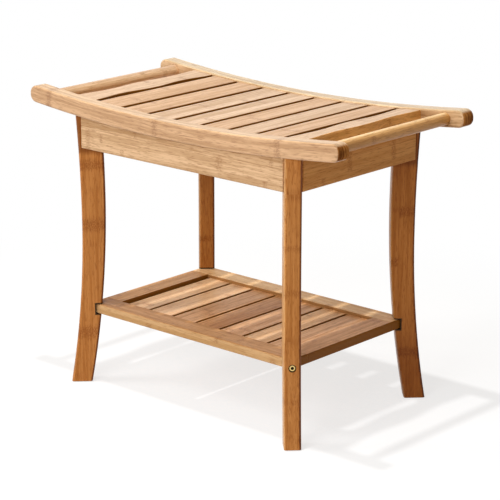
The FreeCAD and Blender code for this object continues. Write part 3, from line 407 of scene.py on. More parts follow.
cut_end, given, made = new_group("end_grain", ["Across", "Through", "Seed"], ["Layers"])
stretched = as_vector(
    cut_end,
    compute(cut_end, "MULTIPLY", given["Across"], END_UP_RATE),
    compute(cut_end, "MULTIPLY", given["Through"], END_THROUGH_RATE),
    given["Seed"])
coarse = add_node(
    cut_end, "ShaderNodeTexNoise", {"noise_dimensions": "3D"},
    Vector=stretched, Scale=1.0, Detail=3.0, Roughness=0.7)
lines = fade(cut_end, coarse.outputs[0], LINE_DARK, LINE_PALE)
outwards = compute(cut_end, "ABSOLUTE", given["Through"])
side_lift = fade(cut_end, outwards, RAIL_INNER_SIDE, RAIL_OUTER_SIDE, INNER_LIFT, OUTER_LIFT)
layers = compute(cut_end, "MULTIPLY_ADD", lines, LINE_STRENGTH, side_lift, clamp=True)
cut_end.links.new(layers, made["Layers"])
print("end grain nodes:", len(cut_end.nodes))

# %% [markdown]
# ## Rings round a bolt
#
# A socket head sunk in wood shows as rings: the socket in the middle, the head, and the gap
# where the head stands free in its hole. Socket and gap lie in shade, so this group makes masks
# for a painted shade in both from the distance to the bolt's axis. The bolt and the leg both use
# it, so their rings meet.

# %% Socket and rim
SOCKET_FULL, SOCKET_GONE = 0.0022, 0.0027
HEAD_END, RIM_START = 0.0042, 0.0047
RIM_END, WOOD_START = 0.0053, 0.0059

# Masks for painted shade: the socket and the gap round the head.
shade_rings, given, made = new_group("bolt_shade_rings", ["Sideways", "Height"], ["Socket", "Rim"])
radius = length_of(shade_rings, as_vector(shade_rings, given["Sideways"], given["Height"], 0.0))
shade_rings.links.new(fade(shade_rings, radius, SOCKET_FULL, SOCKET_GONE, 1.0, 0.0), made["Socket"])
outside_head = fade(shade_rings, radius, HEAD_END, RIM_START)
inside_hole = fade(shade_rings, radius, RIM_END, WOOD_START, 1.0, 0.0)
shade_rings.links.new(compute(shade_rings, "MULTIPLY", outside_head, inside_hole), made["Rim"])
print("bolt ring nodes:", len(shade_rings.nodes))

# %% [markdown]
# ## The line round the shelf's notch
#
# Each leg is notched round a corner of the shelf. The narrow gap there lies in deep shade, so the
# edge of the notch is drawn as a dark line on the leg. It follows the shelf's half thickness and
# the place of its corner.

# %% Notch line
SHELF_HALF_THICKNESS = 0.0081
SHELF_CORNER = 0.0325
NOTCH_LINE_FULL, NOTCH_LINE_GONE = 0.0010, 0.0023

notch, given, made = new_group("notch_line", ["Outward", "Height"], ["Line"])
off_middle = compute(notch, "ABSOLUTE", given["Height"])
beyond = compute(
    notch, "MAXIMUM",
    compute(notch, "SUBTRACT", off_middle, SHELF_HALF_THICKNESS),
    compute(notch, "SUBTRACT", given["Outward"], SHELF_CORNER))
notch.links.new(fade(notch, beyond, NOTCH_LINE_FULL, NOTCH_LINE_GONE, 1.0, 0.0), made["Line"])
print("notch line nodes:", len(notch.nodes))

# %% [markdown]
# ## Tools for a finish
#
# The groups know nothing of the stool. A material has to tell them where a point lies on the piece,
# which way its face looks, and how to blend the colours that come out. Object coordinates are the
# right choice for the first: they are metres on the piece itself, so the grain stays with it.

# %% Places, faces and colours
def place_on(tree):
    """The point on the piece, split into X, Y and Z in metres."""
    spot = add_node(tree, "ShaderNodeTexCoord").outputs["Object"]
    return add_node(tree, "ShaderNodeSeparateXYZ", Vector=spot).outputs


def looking(tree, direction, low, high, both_ways=False):
    """1 on faces that look in a direction, 0 on faces that look away from it."""
    turn = add_node(tree, "ShaderNodeVectorMath", {"operation": "DOT_PRODUCT"})
    tree.links.new(add_node(tree, "ShaderNodeNewGeometry").outputs["Normal"], turn.inputs[0])
    turn.inputs[1].default_value = direction
    value = turn.outputs["Value"]
    return fade(tree, compute(tree, "ABSOLUTE", value) if both_ways else value, low, high)


def blend_colour(tree, amount, first, second, mode="MIX"):
    """Blend two colours; a Mix node has its colour sockets at 6, 7 and 2."""
    node = add_node(tree, "ShaderNodeMix", {"data_type": "RGBA", "blend_type": mode})
    for key, value in (("0", amount), ("6", first), ("7", second)):
        set_input(tree, node, key, value)
    return node.outputs[2]


def scaled(colour, shares):
    """A colour with its red, green and blue multiplied."""
    return (*(part * share for part, share in zip(colour, shares)), 1.0)


def use_group(tree, group, values):
    """Place a node group and fill its named sockets."""
    node = add_node(tree, "ShaderNodeGroup", {"node_tree": group})
    for key, value in values.items():
        set_input(tree, node, key, value)
    return node.outputs


tools = (place_on, looking, blend_colour, scaled, use_group)
print("finish tools:", [tool.__name__ for tool in tools])

# %% [markdown]
# ## From grain to colour
#
# A finish mixes a pale and a deep bamboo colour by the strip's tone and its fibre. Dashes, joints
# and glue lines then darken it towards a redder brown. Multiplying the deep colour keeps that brown
# in the same family for every piece.

# %% Colour of the strips
TONE_SHARE = 0.42
DASH_DEPTH, GLUE_DEPTH = 0.50, 0.28
BROWN_SHARES = (0.66, 0.52, 0.42)
ROW_REACH = 0.005
Joint = namedtuple("Joint", "place reach low high", defaults=(-1.0, 1.0))


def joint_marks(tree, along, across, strips, spacing, joints):
    """All the joint bands of a piece as one mask."""
    shared = {"Along": along, "Ragged": strips["Ragged"], "Mottle": strips["Mottle"]}
    total = None
    if spacing:
        row = dict(shared, Phase=strips["Phase"], Spacing=spacing, Reach=ROW_REACH)
        total = use_group(tree, spaced, row)["Mark"]
    for joint in joints:
        band = dict(
            shared, Across=across, Place=joint.place, Low=joint.low, High=joint.high,
            Reach=joint.reach)
        mark = use_group(tree, placed, band)["Mark"]
        total = mark if total is None else compute(tree, "MAXIMUM", total, mark)
    return total


def strip_colour(tree, strips, marks, joint_depth, pale, deep):
    """The colour of laminated strips with their dashes, joints and glue lines."""
    mixed = compute(tree, "MULTIPLY", strips["Tone"], TONE_SHARE)
    mixed = compute(tree, "MULTIPLY_ADD", strips["Fibre"], 1.0 - TONE_SHARE, mixed)
    colour = blend_colour(tree, mixed, (*pale, 1.0), (*deep, 1.0))
    brown = scaled(deep, BROWN_SHARES)
    darker = ((strips["Dash"], DASH_DEPTH), (marks, joint_depth), (strips["Glue Line"], GLUE_DEPTH))
    for mask, depth in darker:
        colour = blend_colour(tree, compute(tree, "MULTIPLY", mask, depth), colour, brown)
    return colour


print("a joint is described by:", Joint._fields)

# %% [markdown]
# ## Shades by face and place
#
# A shade multiplies the colour on faces that look one way, on part of the length, or on both
# together. Every shade here is painted light or painted shade: a face or a part is made paler
# where the lamps would light it more and darker where it would lie in shade.

# %% Shades, bolt and notch on a leg
RIGHT, FRONT, UP = (1.0, 0.0, 0.0), (0.0, -1.0, 0.0), (0.0, 0.0, 1.0)
BOLT_LEVEL = 0.1195
# Painted shade for the gap round a bolt head and the narrow gap of the shelf's notch.
PAINTED_GAP_SHADE = (0.035, 0.016, 0.004, 1.0)
# Each of these is painted light or painted shade on the faces and lengths it names.
PaintedLightAndShade = namedtuple(
    "PaintedLightAndShade", "tint facing low high start stop",
    defaults=(None, 0.0, 0.0, (-2.0, -1.0), (1.0, 2.0)))


def shade_faces(tree, colour, along, shades):
    """Multiply the colour by each painted light or painted shade where it applies."""
    for shade in shades:
        started = fade(tree, along, *shade.start)
        amount = compute(tree, "MULTIPLY", started, fade(tree, along, *shade.stop, 1.0, 0.0))
        if shade.facing:
            faces = looking(tree, shade.facing, shade.low, shade.high)
            amount = compute(tree, "MULTIPLY", amount, faces)
        colour = blend_colour(tree, amount, colour, (*shade.tint, 1.0), "MULTIPLY")
    return colour


def show_bolt_and_notch(tree, colour, along, across, through):
    """Painted shade in the gap round a leg's bolt head and along the line round its notch."""
    height = compute(tree, "SUBTRACT", along, BOLT_LEVEL)
    rim = use_group(tree, shade_rings, {"Sideways": through, "Height": height})["Rim"]
    line = use_group(tree, notch, {"Outward": across, "Height": height})["Line"]
    return blend_colour(tree, compute(tree, "MAXIMUM", rim, line), colour, PAINTED_GAP_SHADE)


print("a shade is described by:", PaintedLightAndShade._fields)

# %% [markdown]
# ## Slat sides and cut ends
#
# The narrow sides of the slats and of the shelf frame get a painted shade, much darker than their
# tops, and no lacquer; only the outermost sides of the seat, in the open hand gaps, get a warm
# painted light instead. Cut ends show end grain and are rougher. Both return how much lacquer is
# left, so that the coat stops there.

# %% Sides in the gaps and cut ends
# Painted shade for sides deep in the gaps, painted warm light for the open outer sides.
PAINTED_SIDE_SHADE = (0.25, 0.092, 0.010, 1.0)
PAINTED_OPEN_SIDE_LIGHT = (1.30, 1.03, 0.57, 1.0)
SIDE_START, SIDE_FULL = 0.18, 0.50
DARK_END_SHARES, PALE_END_SHARES = (0.45, 0.25, 0.07), (1.25, 0.98, 0.56)
END_START, END_FULL, END_ROUGHNESS = 0.45, 0.80, 0.85


def darken_sides(tree, colour, across, reach):
    """Painted shade on sides within reach of the middle, painted light outside; also the lacquer
    left.
    """
    sides = looking(tree, RIGHT, SIDE_START, SIDE_FULL, both_ways=True)
    in_gap = compute(tree, "LESS_THAN", compute(tree, "ABSOLUTE", across), reach)
    in_open = blend_colour(tree, 1.0, colour, PAINTED_OPEN_SIDE_LIGHT, "MULTIPLY")
    painted_side_colour = blend_colour(tree, in_gap, in_open, PAINTED_SIDE_SHADE)
    return blend_colour(tree, sides, colour, painted_side_colour), compute(tree, "SUBTRACT", 1.0, sides)


def show_cut_ends(tree, colour, roughness, across, through, seed, deep):
    """End grain on the faces across the length; also the roughness and the lacquer left."""
    ends = looking(tree, RIGHT, END_START, END_FULL, both_ways=True)
    values = {"Across": across, "Through": through, "Seed": seed}
    layers = use_group(tree, cut_end, values)["Layers"]
    dark_end, pale_end = scaled(deep, DARK_END_SHARES), scaled(deep, PALE_END_SHARES)
    colour = blend_colour(tree, ends, colour, blend_colour(tree, layers, dark_end, pale_end))
    raw = compute(tree, "MULTIPLY", ends, END_ROUGHNESS)
    roughness = compute(tree, "MAXIMUM", roughness, raw)
    return colour, roughness, compute(tree, "SUBTRACT", 1.0, ends)


print("side and end helpers:", [tool.__name__ for tool in (darken_sides, show_cut_ends)])

# %% [markdown]
# ## Lacquer and surface
#
# A thin clear lacquer lies over the bamboo: satin, so its gloss is low and wide. The Principled
# shader has a coat for that. The fibre also lifts the surface very slightly, which breaks up the
# reflections. Numbers that hold all over a piece are set on the shader itself.

# %% Lacquer coat and bump
COAT_ROUGHNESS, COAT_IOR = 0.36, 1.6
SHEEN_START, SHEEN_FULL, SHEEN_STRENGTH = 0.60, 0.80, 0.35


def add_lacquer(tree, shader, strength, left, sheen_side):
    """A satin coat, stopped where none is left, stronger on one side if that is asked for."""
    coat = strength if left is None else compute(tree, "MULTIPLY", left, strength)
    if sheen_side:
        glossy = looking(tree, sheen_side, SHEEN_START, SHEEN_FULL)
        coat = compute(tree, "MULTIPLY_ADD", glossy, SHEEN_STRENGTH, coat)
    set_input(tree, shader, "Coat Weight", coat)
    shader.inputs["Coat Roughness"].default_value = COAT_ROUGHNESS
    shader.inputs["Coat IOR"].default_value = COAT_IOR


def wire_surface(tree, shader, colour, roughness, height, strength, distance):
    """Link colour and roughness, and turn a height into a bumped normal."""
    bump = add_node(tree, "ShaderNodeBump", Strength=strength, Distance=distance, Height=height)
    tree.links.new(colour, shader.inputs["Base Color"])
    tree.links.new(roughness, shader.inputs["Roughness"])
    tree.links.new(bump.outputs[0], shader.inputs["Normal"])


def new_finish(name):
    """A new material; returns it with its tree and its Principled shader."""
    finish = bpy.data.materials.new(name)
    finish.use_nodes = True
    return finish, finish.node_tree, finish.node_tree.nodes["Principled BSDF"]


print("surface helpers:", [tool.__name__ for tool in (add_lacquer, wire_surface, new_finish)])

# %% [markdown]
# ## One bamboo finish for every piece
#
# Now the parts come together in one function. A piece gives its directions (how far a point lies
# along, across and through the board, and which board it is), its two tones, the size of its
# strips, its joints and its shades. Everything else is the same for all of them, which is why the
# whole stool looks cut from one stack of boards.

# %% Bamboo finish
FIBRE_ROUGHNESS, SMOOTH_ROUGHNESS = 0.12, 0.40
WOOD_SPECULAR = 0.12
JOINT_HEIGHT = 0.5
BUMP_STRENGTH, BUMP_DISTANCE = 0.15, 0.0006


def bamboo_finish(
        name, directions, pale, deep, strip_width, layer_depth, seed, spacing=None, joints=(),
        joint_depth=0.66, shades=(), bolted=False, side_shade=False, side_reach=1.0,
        cut_ends=False, lacquer=0.0, sheen_side=None):
    """A bamboo material; directions(tree, place) gives along, across, through and a seed."""
    finish, tree, shader = new_finish(name)
    along, across, through, own_seed = directions(tree, place_on(tree))
    strips = use_group(tree, grain, {
        "Along": along, "Across": across, "Through": through, "Strip Width": strip_width,
        "Layer Depth": layer_depth, "Seed": compute(tree, "ADD", own_seed, seed)})
    marks = joint_marks(tree, along, across, strips, spacing, joints)
    colour = strip_colour(tree, strips, marks, joint_depth, pale, deep)
    colour = shade_faces(tree, colour, along, shades)
    roughness = compute(
        tree, "MULTIPLY_ADD", strips["Fibre"], FIBRE_ROUGHNESS, SMOOTH_ROUGHNESS)
    left = None
    if bolted:
        colour = show_bolt_and_notch(tree, colour, along, across, through)
    if side_shade:
        colour, left = darken_sides(tree, colour, across, side_reach)
    if cut_ends:
        colour, roughness, left = show_cut_ends(
            tree, colour, roughness, across, through, own_seed, deep)
    if lacquer:
        add_lacquer(tree, shader, lacquer, left, sheen_side)
    shader.inputs["Specular IOR Level"].default_value = WOOD_SPECULAR
    height = compute(tree, "MULTIPLY_ADD", marks, JOINT_HEIGHT, strips["Height"])
    wire_surface(tree, shader, colour, roughness, height, BUMP_STRENGTH, BUMP_DISTANCE)
    return finish


def dress(finish, *names):
    """Put one finish on the material slots of these pieces."""
    for name in names:
        for slot in nodes[name].material_slots:
            slot.material = finish
    print(finish.name, "on", ", ".join(names))


print("node groups for it:", [group.name for group in bpy.data.node_groups])

# %% [markdown]
# ## Seat rails
#
# Two long rails carry the seat. They are bent or sawn to a shallow dish, so their grain has to
# follow the curve: the height above the rail's underside is measured from a parabola, which is
# near enough to the arc. Their tops carry a painted light that makes them paler than their sides,
# the rear rail's inner lip carries a stronger painted highlight, and the rear rail's inner side a
# painted shade between the handle rods.

# %% Seat rails
DISH = 0.1886
RAIL_UNDERSIDE = 0.4170
RAIL_STRIPS = {"strip_width": 0.028, "layer_depth": 0.0062, "seed": 1.0}
RAIL_TONES = {"pale": (0.69, 0.442, 0.255), "deep": (0.38, 0.205, 0.090)}
FRONT_TOP = (0.0, -0.707, 0.707)


def rail_directions(tree, place):
    squared = compute(tree, "MULTIPLY", place["X"], place["X"])
    level = compute(tree, "SUBTRACT", place["Z"], compute(tree, "MULTIPLY", squared, DISH))
    level = compute(tree, "SUBTRACT", level, RAIL_UNDERSIDE)
    return place["X"], level, place["Y"], compute(tree, "SIGN", place["Y"])


dress(
    bamboo_finish(
        "front_rail_bamboo", rail_directions, **RAIL_TONES, **RAIL_STRIPS,
        cut_ends=True, lacquer=0.85,
        # Painted light: the rail's top is made paler.
        shades=[PaintedLightAndShade((1.15, 1.20, 1.14), UP, 0.45, 0.85)],
        joints=[Joint(-0.2626, 0.0055), Joint(-0.0403, 0.0055), Joint(0.1960, 0.006)]),
    "front_seat_rail")
dress(
    bamboo_finish(
        "rear_rail_bamboo", rail_directions, **RAIL_TONES, **RAIL_STRIPS,
        cut_ends=True, lacquer=0.85, spacing=0.24,
        # Painted shade on the inner side between the rods, a painted highlight on the inner lip,
        # painted light on the top.
        shades=[
            PaintedLightAndShade((0.70, 0.62, 0.54), FRONT, 0.80, 0.97, (-0.262, -0.235), (0.228, 0.275)),
            PaintedLightAndShade((1.24, 1.38, 1.45), FRONT_TOP, 0.50, 0.85),
            PaintedLightAndShade((1.07, 1.20, 1.26), UP, 0.45, 0.85)]),
    "rear_seat_rail")

# %% [markdown]
# ## Seat slats
#
# Nine slats lie across the seat, each two strips wide, with the grain from front to back. Boards
# differ, so the slats come in a warm and a pale tone. Each slat's own number, worked out from its
# place along the seat, gives it different fibres from its neighbours.

# %% Seat slats
SEAT_PITCH, SEAT_SLATS = 0.053, 9
SEAT_STRIPS = {"strip_width": 0.0235, "layer_depth": 0.008, "seed": 2.0}
SEAT_TONES = [
    ("warm_slat_bamboo", (0.69, 0.430, 0.236), (0.46, 0.252, 0.109), (2, 3, 6, 8)),
    ("pale_slat_bamboo", (0.74, 0.508, 0.325), (0.50, 0.310, 0.162), (1, 4, 5, 7, 9))]
# Slat sides nearer the middle than this get painted gap shade, the outer ones painted light.
LAST_GAP = 0.215


def slat_directions(pitch, count):
    def directions(tree, place):
        number = compute(tree, "ADD", compute(tree, "DIVIDE", place["X"], pitch), count / 2)
        return place["Y"], place["X"], place["Z"], compute(tree, "FLOOR", number)
    return directions


for name, pale, deep, places in SEAT_TONES:
    dress(
        bamboo_finish(
            name, slat_directions(SEAT_PITCH, SEAT_SLATS), pale, deep, **SEAT_STRIPS,
            spacing=0.34, side_shade=True, side_reach=LAST_GAP, lacquer=0.35),
        *["seat_slat_%d" % place for place in places])

# %% [markdown]
# ## Handle rods
#
# A round rod at each end is the handle. It is turned from thick strips, wider than those of the
# slats. The left rod is pale, with a painted light on its inner and lower sides; the right one is
# more golden, with a painted shade on its outer and lower sides.

# %% Handle rods
ROD_STRIPS = {"strip_width": 0.030, "layer_depth": 0.030, "seed": 3.0}
INWARD_BELOW = (0.85, 0.0, -0.52)
OUTWARD_BELOW = (0.3, 0.0, -0.95)


def rod_directions(tree, place):
    return place["Y"], place["Z"], place["X"], compute(tree, "SIGN", place["X"])


dress(
    bamboo_finish(
        "left_rod_bamboo", rod_directions, (0.72, 0.48, 0.300), (0.49, 0.290, 0.145),
        **ROD_STRIPS, spacing=0.22, lacquer=0.4,
        # Painted light on the inner and lower sides.
        shades=[PaintedLightAndShade((1.38, 1.48, 1.50), INWARD_BELOW, -0.2, 0.5)]),
    "left_handle_rod")
dress(
    bamboo_finish(
        "right_rod_bamboo", rod_directions, (1.0, 0.70, 0.360), (0.67, 0.410, 0.165),
        **ROD_STRIPS, spacing=0.30, lacquer=0.35,
        # Painted shade on the outer and lower sides.
        shades=[
            PaintedLightAndShade((0.77, 0.60, 0.39), RIGHT, 0.05, 0.80),
            PaintedLightAndShade((0.80, 0.73, 0.54), OUTWARD_BELOW, 0.10, 0.80)]),
    "right_handle_rod")

# %% [markdown]
# ## Aprons
#
# The aprons under the seat are flat boards of three strips, one above the other, with the grain
# lengthways. Their joints lie strip by strip, so each one is given the heights between which it
# shows. The end aprons get a warmer, deeper tone than the long ones, a painted shade for the
# warm shade on their outer faces, and all of them are left matt.

# %% Aprons
APRON_FOOT = 0.3655
LONG_STRIPS = {"strip_width": 0.021, "layer_depth": 0.0067, "seed": 4.0}
END_STRIPS = {"strip_width": 0.021, "layer_depth": 0.0067, "seed": 5.0}
LONG_TONES = {"pale": (0.73, 0.505, 0.315), "deep": (0.42, 0.252, 0.126)}
FRONT_APRON_JOINTS = [
    Joint(-0.1857, 0.005, 0.010, 0.042), Joint(-0.1577, 0.003, 0.024, 0.038),
    Joint(-0.0859, 0.003, 0.042, 0.056), Joint(0.0815, 0.0065, 0.021, 0.042),
    Joint(0.1795, 0.004, 0.042, 0.060), Joint(-0.1137, 0.004, 0.010, 0.021),
    Joint(0.1685, 0.004, 0.010, 0.021)]
END_APRON_JOINTS = [
    Joint(-0.0271, 0.005, 0.021, 0.060), Joint(0.0749, 0.005, 0.021, 0.060),
    Joint(-0.085, 0.004, 0.0, 0.021)]


def long_apron_directions(tree, place):
    level = compute(tree, "SUBTRACT", place["Z"], APRON_FOOT)
    return place["X"], level, place["Y"], compute(tree, "SIGN", place["Y"])


def end_apron_directions(tree, place):
    level = compute(tree, "SUBTRACT", place["Z"], APRON_FOOT)
    return place["Y"], level, place["X"], compute(tree, "SIGN", place["X"])


dress(
    bamboo_finish(
        "front_apron_bamboo", long_apron_directions, **LONG_TONES, **LONG_STRIPS,
        joint_depth=0.50, joints=FRONT_APRON_JOINTS),
    "front_apron")
dress(
    bamboo_finish(
        "rear_apron_bamboo", long_apron_directions, **LONG_TONES, **LONG_STRIPS, spacing=0.26),
    "rear_apron")
dress(
    # A warmer, deeper tone than the long aprons: painted shade.
    bamboo_finish(
        "end_apron_bamboo", end_apron_directions, (0.74, 0.388, 0.132), (0.555, 0.243, 0.068),
        **END_STRIPS, joints=END_APRON_JOINTS),
    "left_end_apron", "right_end_apron")

# %% [markdown]
# ## Which way a leg faces
#
# The legs stand on the corner diagonals, so their directions are turned by 45 degrees. Taking the
# distances from the middle of the stool, without their signs, lets one rule serve all four: outward
# along the diagonal, sideways across it. The signs then tell the four corners apart.

# %% Leg directions
LEG_DIAGONAL_START = 0.073
LEG_MIDDLE = 0.146
DIAGONAL = math.sqrt(0.5)
CORNER_STEP = 3.0
LEG_STRIPS = {"strip_width": 0.027, "layer_depth": 0.0062, "seed": 6.0}


def leg_directions(tree, place):
    side = compute(
        tree, "SUBTRACT", compute(tree, "ABSOLUTE", place["X"]), LEG_DIAGONAL_START)
    back = compute(tree, "ABSOLUTE", place["Y"])
    outward = compute(tree, "MULTIPLY", compute(tree, "ADD", side, back), DIAGONAL)
    outward = compute(tree, "SUBTRACT", outward, LEG_MIDDLE)
    sideways = compute(tree, "MULTIPLY", compute(tree, "SUBTRACT", back, side), DIAGONAL)
    corner = compute(
        tree, "MULTIPLY_ADD", compute(tree, "SIGN", place["Y"]), CORNER_STEP,
        compute(tree, "SIGN", place["X"]))
    return place["Z"], outward, sideways, corner


print("legs of the stool:", [name for name in nodes if name.endswith("_leg")])

# %% [markdown]
# ## Legs
#
# The four curved legs are sawn from thick boards. Their amber is darker and more saturated than
# the seat, partly their own colour and partly painted shade, and the rear pair is deeper than the
# front pair as painted shade. Each leg has its own joints. Rounded edges on the right carry a
# painted shade, sides towards the front left take a stronger sheen from the coat and a painted
# light that makes them mostly paler, two of the tops carry a painted shade beside the aprons, and
# the rear right foot is darker towards the floor as painted shade.

# %% Legs
# Amber and chestnut are partly the legs' own colour, partly painted shade.
AMBER, CHESTNUT = (0.575, 0.252, 0.072), (0.40, 0.147, 0.031)
# The rear legs' deeper tones are painted shade.
SHADED_REAR_LEG_TONES = {
    "rear_right": ((0.50, 0.198, 0.047), (0.345, 0.114, 0.019)),
    "rear_left": ((0.49, 0.205, 0.053), (0.34, 0.118, 0.022))}
LEG_JOINTS = {
    "front_left": [Joint(0.3485, 0.008), Joint(0.2543, 0.010), Joint(0.0823, 0.010)],
    "front_right": [Joint(0.2938, 0.005), Joint(0.2290, 0.005), Joint(0.0700, 0.004)],
    "rear_right": [
        Joint(0.2960, 0.008, low=0.027), Joint(0.2172, 0.007, high=0.027),
        Joint(0.0754, 0.008, low=0.027)],
    "rear_left": [Joint(0.3000, 0.006), Joint(0.1800, 0.005), Joint(0.0600, 0.005)]}
JOINT_DEPTH, FAINT_JOINT_DEPTH = 0.78, 0.45
FRONT_LEFT = (-0.5, -0.866, 0.0)
# Painted shade on right edges, painted light on front left sides, painted shade beside the aprons
# and at the foot.
RIGHT_EDGE_SHADE = PaintedLightAndShade((0.45, 0.33, 0.22), RIGHT, 0.78, 0.92)
FRONT_LEFT_SIDE_LIGHT = PaintedLightAndShade((1.16, 1.48, 2.1), FRONT_LEFT, 0.60, 0.80)
SHADE_BESIDE_APRON = PaintedLightAndShade((0.55, 0.46, 0.36), start=(0.362, 0.372))
FOOT_SHADE = PaintedLightAndShade((0.72, 0.60, 0.46), stop=(0.05, 0.17))
LEG_LIGHT_AND_SHADE = {
    "front_left": [RIGHT_EDGE_SHADE, SHADE_BESIDE_APRON],
    "front_right": [RIGHT_EDGE_SHADE, FRONT_LEFT_SIDE_LIGHT],
    "rear_right": [RIGHT_EDGE_SHADE, FRONT_LEFT_SIDE_LIGHT, SHADE_BESIDE_APRON, FOOT_SHADE],
    "rear_left": [RIGHT_EDGE_SHADE, FRONT_LEFT_SIDE_LIGHT]}

for corner, joints in LEG_JOINTS.items():
    pale, deep = SHADED_REAR_LEG_TONES.get(corner, (AMBER, CHESTNUT))
    depth = FAINT_JOINT_DEPTH if corner == "front_right" else JOINT_DEPTH
    dress(
        bamboo_finish(
            corner + "_leg_bamboo", leg_directions, pale, deep, **LEG_STRIPS, joints=joints,
            joint_depth=depth, shades=LEG_LIGHT_AND_SHADE[corner], bolted=True,
            lacquer=0.10, sheen_side=FRONT_LEFT),
        corner + "_leg")

# %% [markdown]
# ## Shelf frame
#
# The shelf's frame is two long rails with two stiles between them. The rails' grain runs along X
# and the stiles' along Y, so each pair has its own rule. The front rail's edge carries painted
# light that makes it paler than its top; the rear rail's inner lip carries painted shade, a dark
# line behind the slats. Their sides get the painted gap shade.

# %% Shelf frame
SHELF_FRAME_STRIPS = {"strip_width": 0.0175, "layer_depth": 0.0075, "seed": 7.0}
# Painted light on the front rail's front edge, painted shade on the rear rail's inner lip.
FRONT_EDGE_LIGHT = PaintedLightAndShade((0.95, 1.14, 1.40), FRONT, 0.5, 0.9)
LIP_SHADE = PaintedLightAndShade((0.42, 0.33, 0.24), FRONT, 0.3, 0.8)


def shelf_rail_directions(tree, place):
    return place["X"], place["Y"], place["Z"], compute(tree, "SIGN", place["Y"])


def shelf_stile_directions(tree, place):
    return place["Y"], place["X"], place["Z"], compute(tree, "SIGN", place["X"])


SHELF_FRAME_TONES = [
    ("shelf_front_rail", shelf_rail_directions,
     (0.69, 0.375, 0.160), (0.50, 0.238, 0.080), [FRONT_EDGE_LIGHT]),
    # The rear rail's pale tone is partly its own colour, partly painted light for the bars through
    # the seat.
    ("shelf_rear_rail", shelf_rail_directions,
     (1.0, 0.680, 0.365), (0.78, 0.462, 0.200), [LIP_SHADE]),
    ("shelf_left_stile", shelf_stile_directions,
     (0.74, 0.410, 0.172), (0.54, 0.26, 0.086), []),
    ("shelf_right_stile", shelf_stile_directions,
     (0.80, 0.438, 0.200), (0.56, 0.268, 0.098), [])]
for name, directions, pale, deep, shades in SHELF_FRAME_TONES:
    dress(
        bamboo_finish(
            name + "_bamboo", directions, pale, deep, **SHELF_FRAME_STRIPS, spacing=0.25,
            # The sides get the painted gap shade.
            side_shade=True, lacquer=0.12, shades=shades),
        name)

# %% [markdown]
# ## Shelf slats
#
# Seven slats fill the frame. Shelf slats are cut from mixed stock, so their tones differ more than
# those of the seat: two pale ones on the left, one deep one in the middle, the rest between.

# %% Shelf slats
SHELF_PITCH, SHELF_SLATS = 0.04807, 7
SHELF_SLAT_STRIPS = {"strip_width": 0.0218, "layer_depth": 0.009, "seed": 9.0}
SHELF_TONES = [
    ("pale_shelf_bamboo", (1.0, 0.70, 0.41), (0.80, 0.450, 0.215), (1, 2)),
    ("middle_shelf_bamboo", (0.88, 0.510, 0.250), (0.52, 0.250, 0.096), (3, 5, 7)),
    ("light_shelf_bamboo", (0.98, 0.625, 0.335), (0.61, 0.335, 0.142), (6,)),
    ("deep_shelf_bamboo", (0.66, 0.335, 0.130), (0.40, 0.155, 0.036), (4,))]
for name, pale, deep, places in SHELF_TONES:
    dress(
        bamboo_finish(
            name, slat_directions(SHELF_PITCH, SHELF_SLATS), pale, deep, **SHELF_SLAT_STRIPS,
            # Their sides get the painted gap shade.
            spacing=0.30, side_shade=True, lacquer=0.18),
        *["shelf_slat_%d" % place for place in places])

# %% [markdown]
# ## Blocks and dowels
#
# Behind each leg a block glued between the aprons holds the corner square, and dowels pin the rails
# to the long aprons. The blocks are seen only from below and the dowels not at all, so one plain,
# unlacquered bamboo serves them both.

# %% Blocks and dowels
BLOCK_STRIPS = {"strip_width": 0.030, "layer_depth": 0.030, "seed": 10.0}

dress(
    bamboo_finish(
        "corner_block_wood", shelf_rail_directions, (0.80, 0.455, 0.220), (0.58, 0.285, 0.112),
        **BLOCK_STRIPS, spacing=0.60),
    "corner_block_front_left", "corner_block_front_right", "corner_block_rear_left",
    "corner_block_rear_right", "rail_dowels")

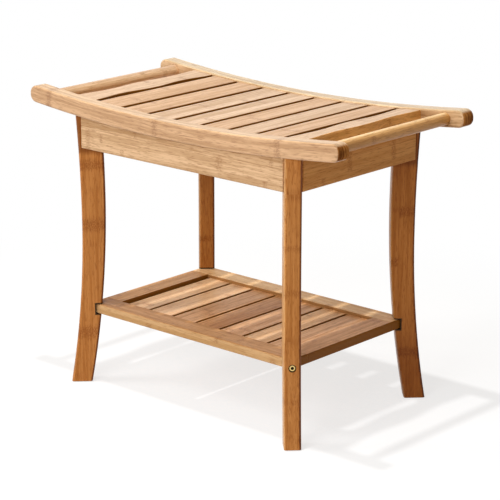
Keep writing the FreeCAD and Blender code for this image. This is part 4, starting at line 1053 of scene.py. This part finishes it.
# %% [markdown]
# ## Brass and rubber
#
# The bolts are brass plated: a metal with a faint speckle and slightly uneven gloss. The foot pads
# are matt black rubber with a fine tooth to it. Both follow one fine noise, which drives colour,
# roughness and height together, as wear does on a real surface.

# %% Brass and rubber
# Painted shade for the hex socket and the gap round a bolt head.
PAINTED_SOCKET_SHADE = (0.03, 0.02, 0.006, 1.0)
SPECKLE_START, SPECKLE_FULL, SPECKLE_BUMP = 0.35, 0.65, 0.3
SMOOTHEST, ROUGHEST = 0.3, 0.7


def speckled_finish(name, first, second, scale, metallic, roughness, bump_depth, bolted=False):
    """A material whose colour, gloss and height follow one fine noise; a bolted one also gets
    painted shade in its socket and round its head.
    """
    finish, tree, shader = new_finish(name)
    spot = add_node(tree, "ShaderNodeTexCoord").outputs["Object"]
    noise = add_node(
        tree, "ShaderNodeTexNoise", Vector=spot, Scale=scale, Detail=4.0, Roughness=0.6).outputs[0]
    amount = fade(tree, noise, SPECKLE_START, SPECKLE_FULL)
    colour = blend_colour(tree, amount, (*first, 1.0), (*second, 1.0))
    # A bolt head gets painted shade in its socket and in the gap round it.
    if bolted:
        along, _, sideways, _ = leg_directions(tree, place_on(tree))
        height = compute(tree, "SUBTRACT", along, BOLT_LEVEL)
        marks = use_group(tree, shade_rings, {"Sideways": sideways, "Height": height})
        painted_hollow_shade = compute(tree, "MAXIMUM", marks["Socket"], marks["Rim"])
        colour = blend_colour(tree, painted_hollow_shade, colour, PAINTED_SOCKET_SHADE)
    shader.inputs["Metallic"].default_value = metallic
    uneven = fade(tree, noise, SMOOTHEST, ROUGHEST, *roughness)
    wire_surface(tree, shader, colour, uneven, noise, SPECKLE_BUMP, bump_depth)
    return finish


dress(
    speckled_finish(
        "bolt_brass", (0.86, 0.66, 0.27), (0.74, 0.53, 0.20), scale=900.0, metallic=1.0,
        roughness=(0.26, 0.40), bump_depth=0.00005, bolted=True),
    "shelf_bolts", "leg_bolts", "shelf_insert_nuts", "leg_insert_nuts")
dress(
    speckled_finish(
        "foot_rubber", (0.030, 0.030, 0.032), (0.045, 0.044, 0.043), scale=1400.0, metallic=0.0,
        roughness=(0.70, 0.90), bump_depth=0.0002),
    "foot_pads")
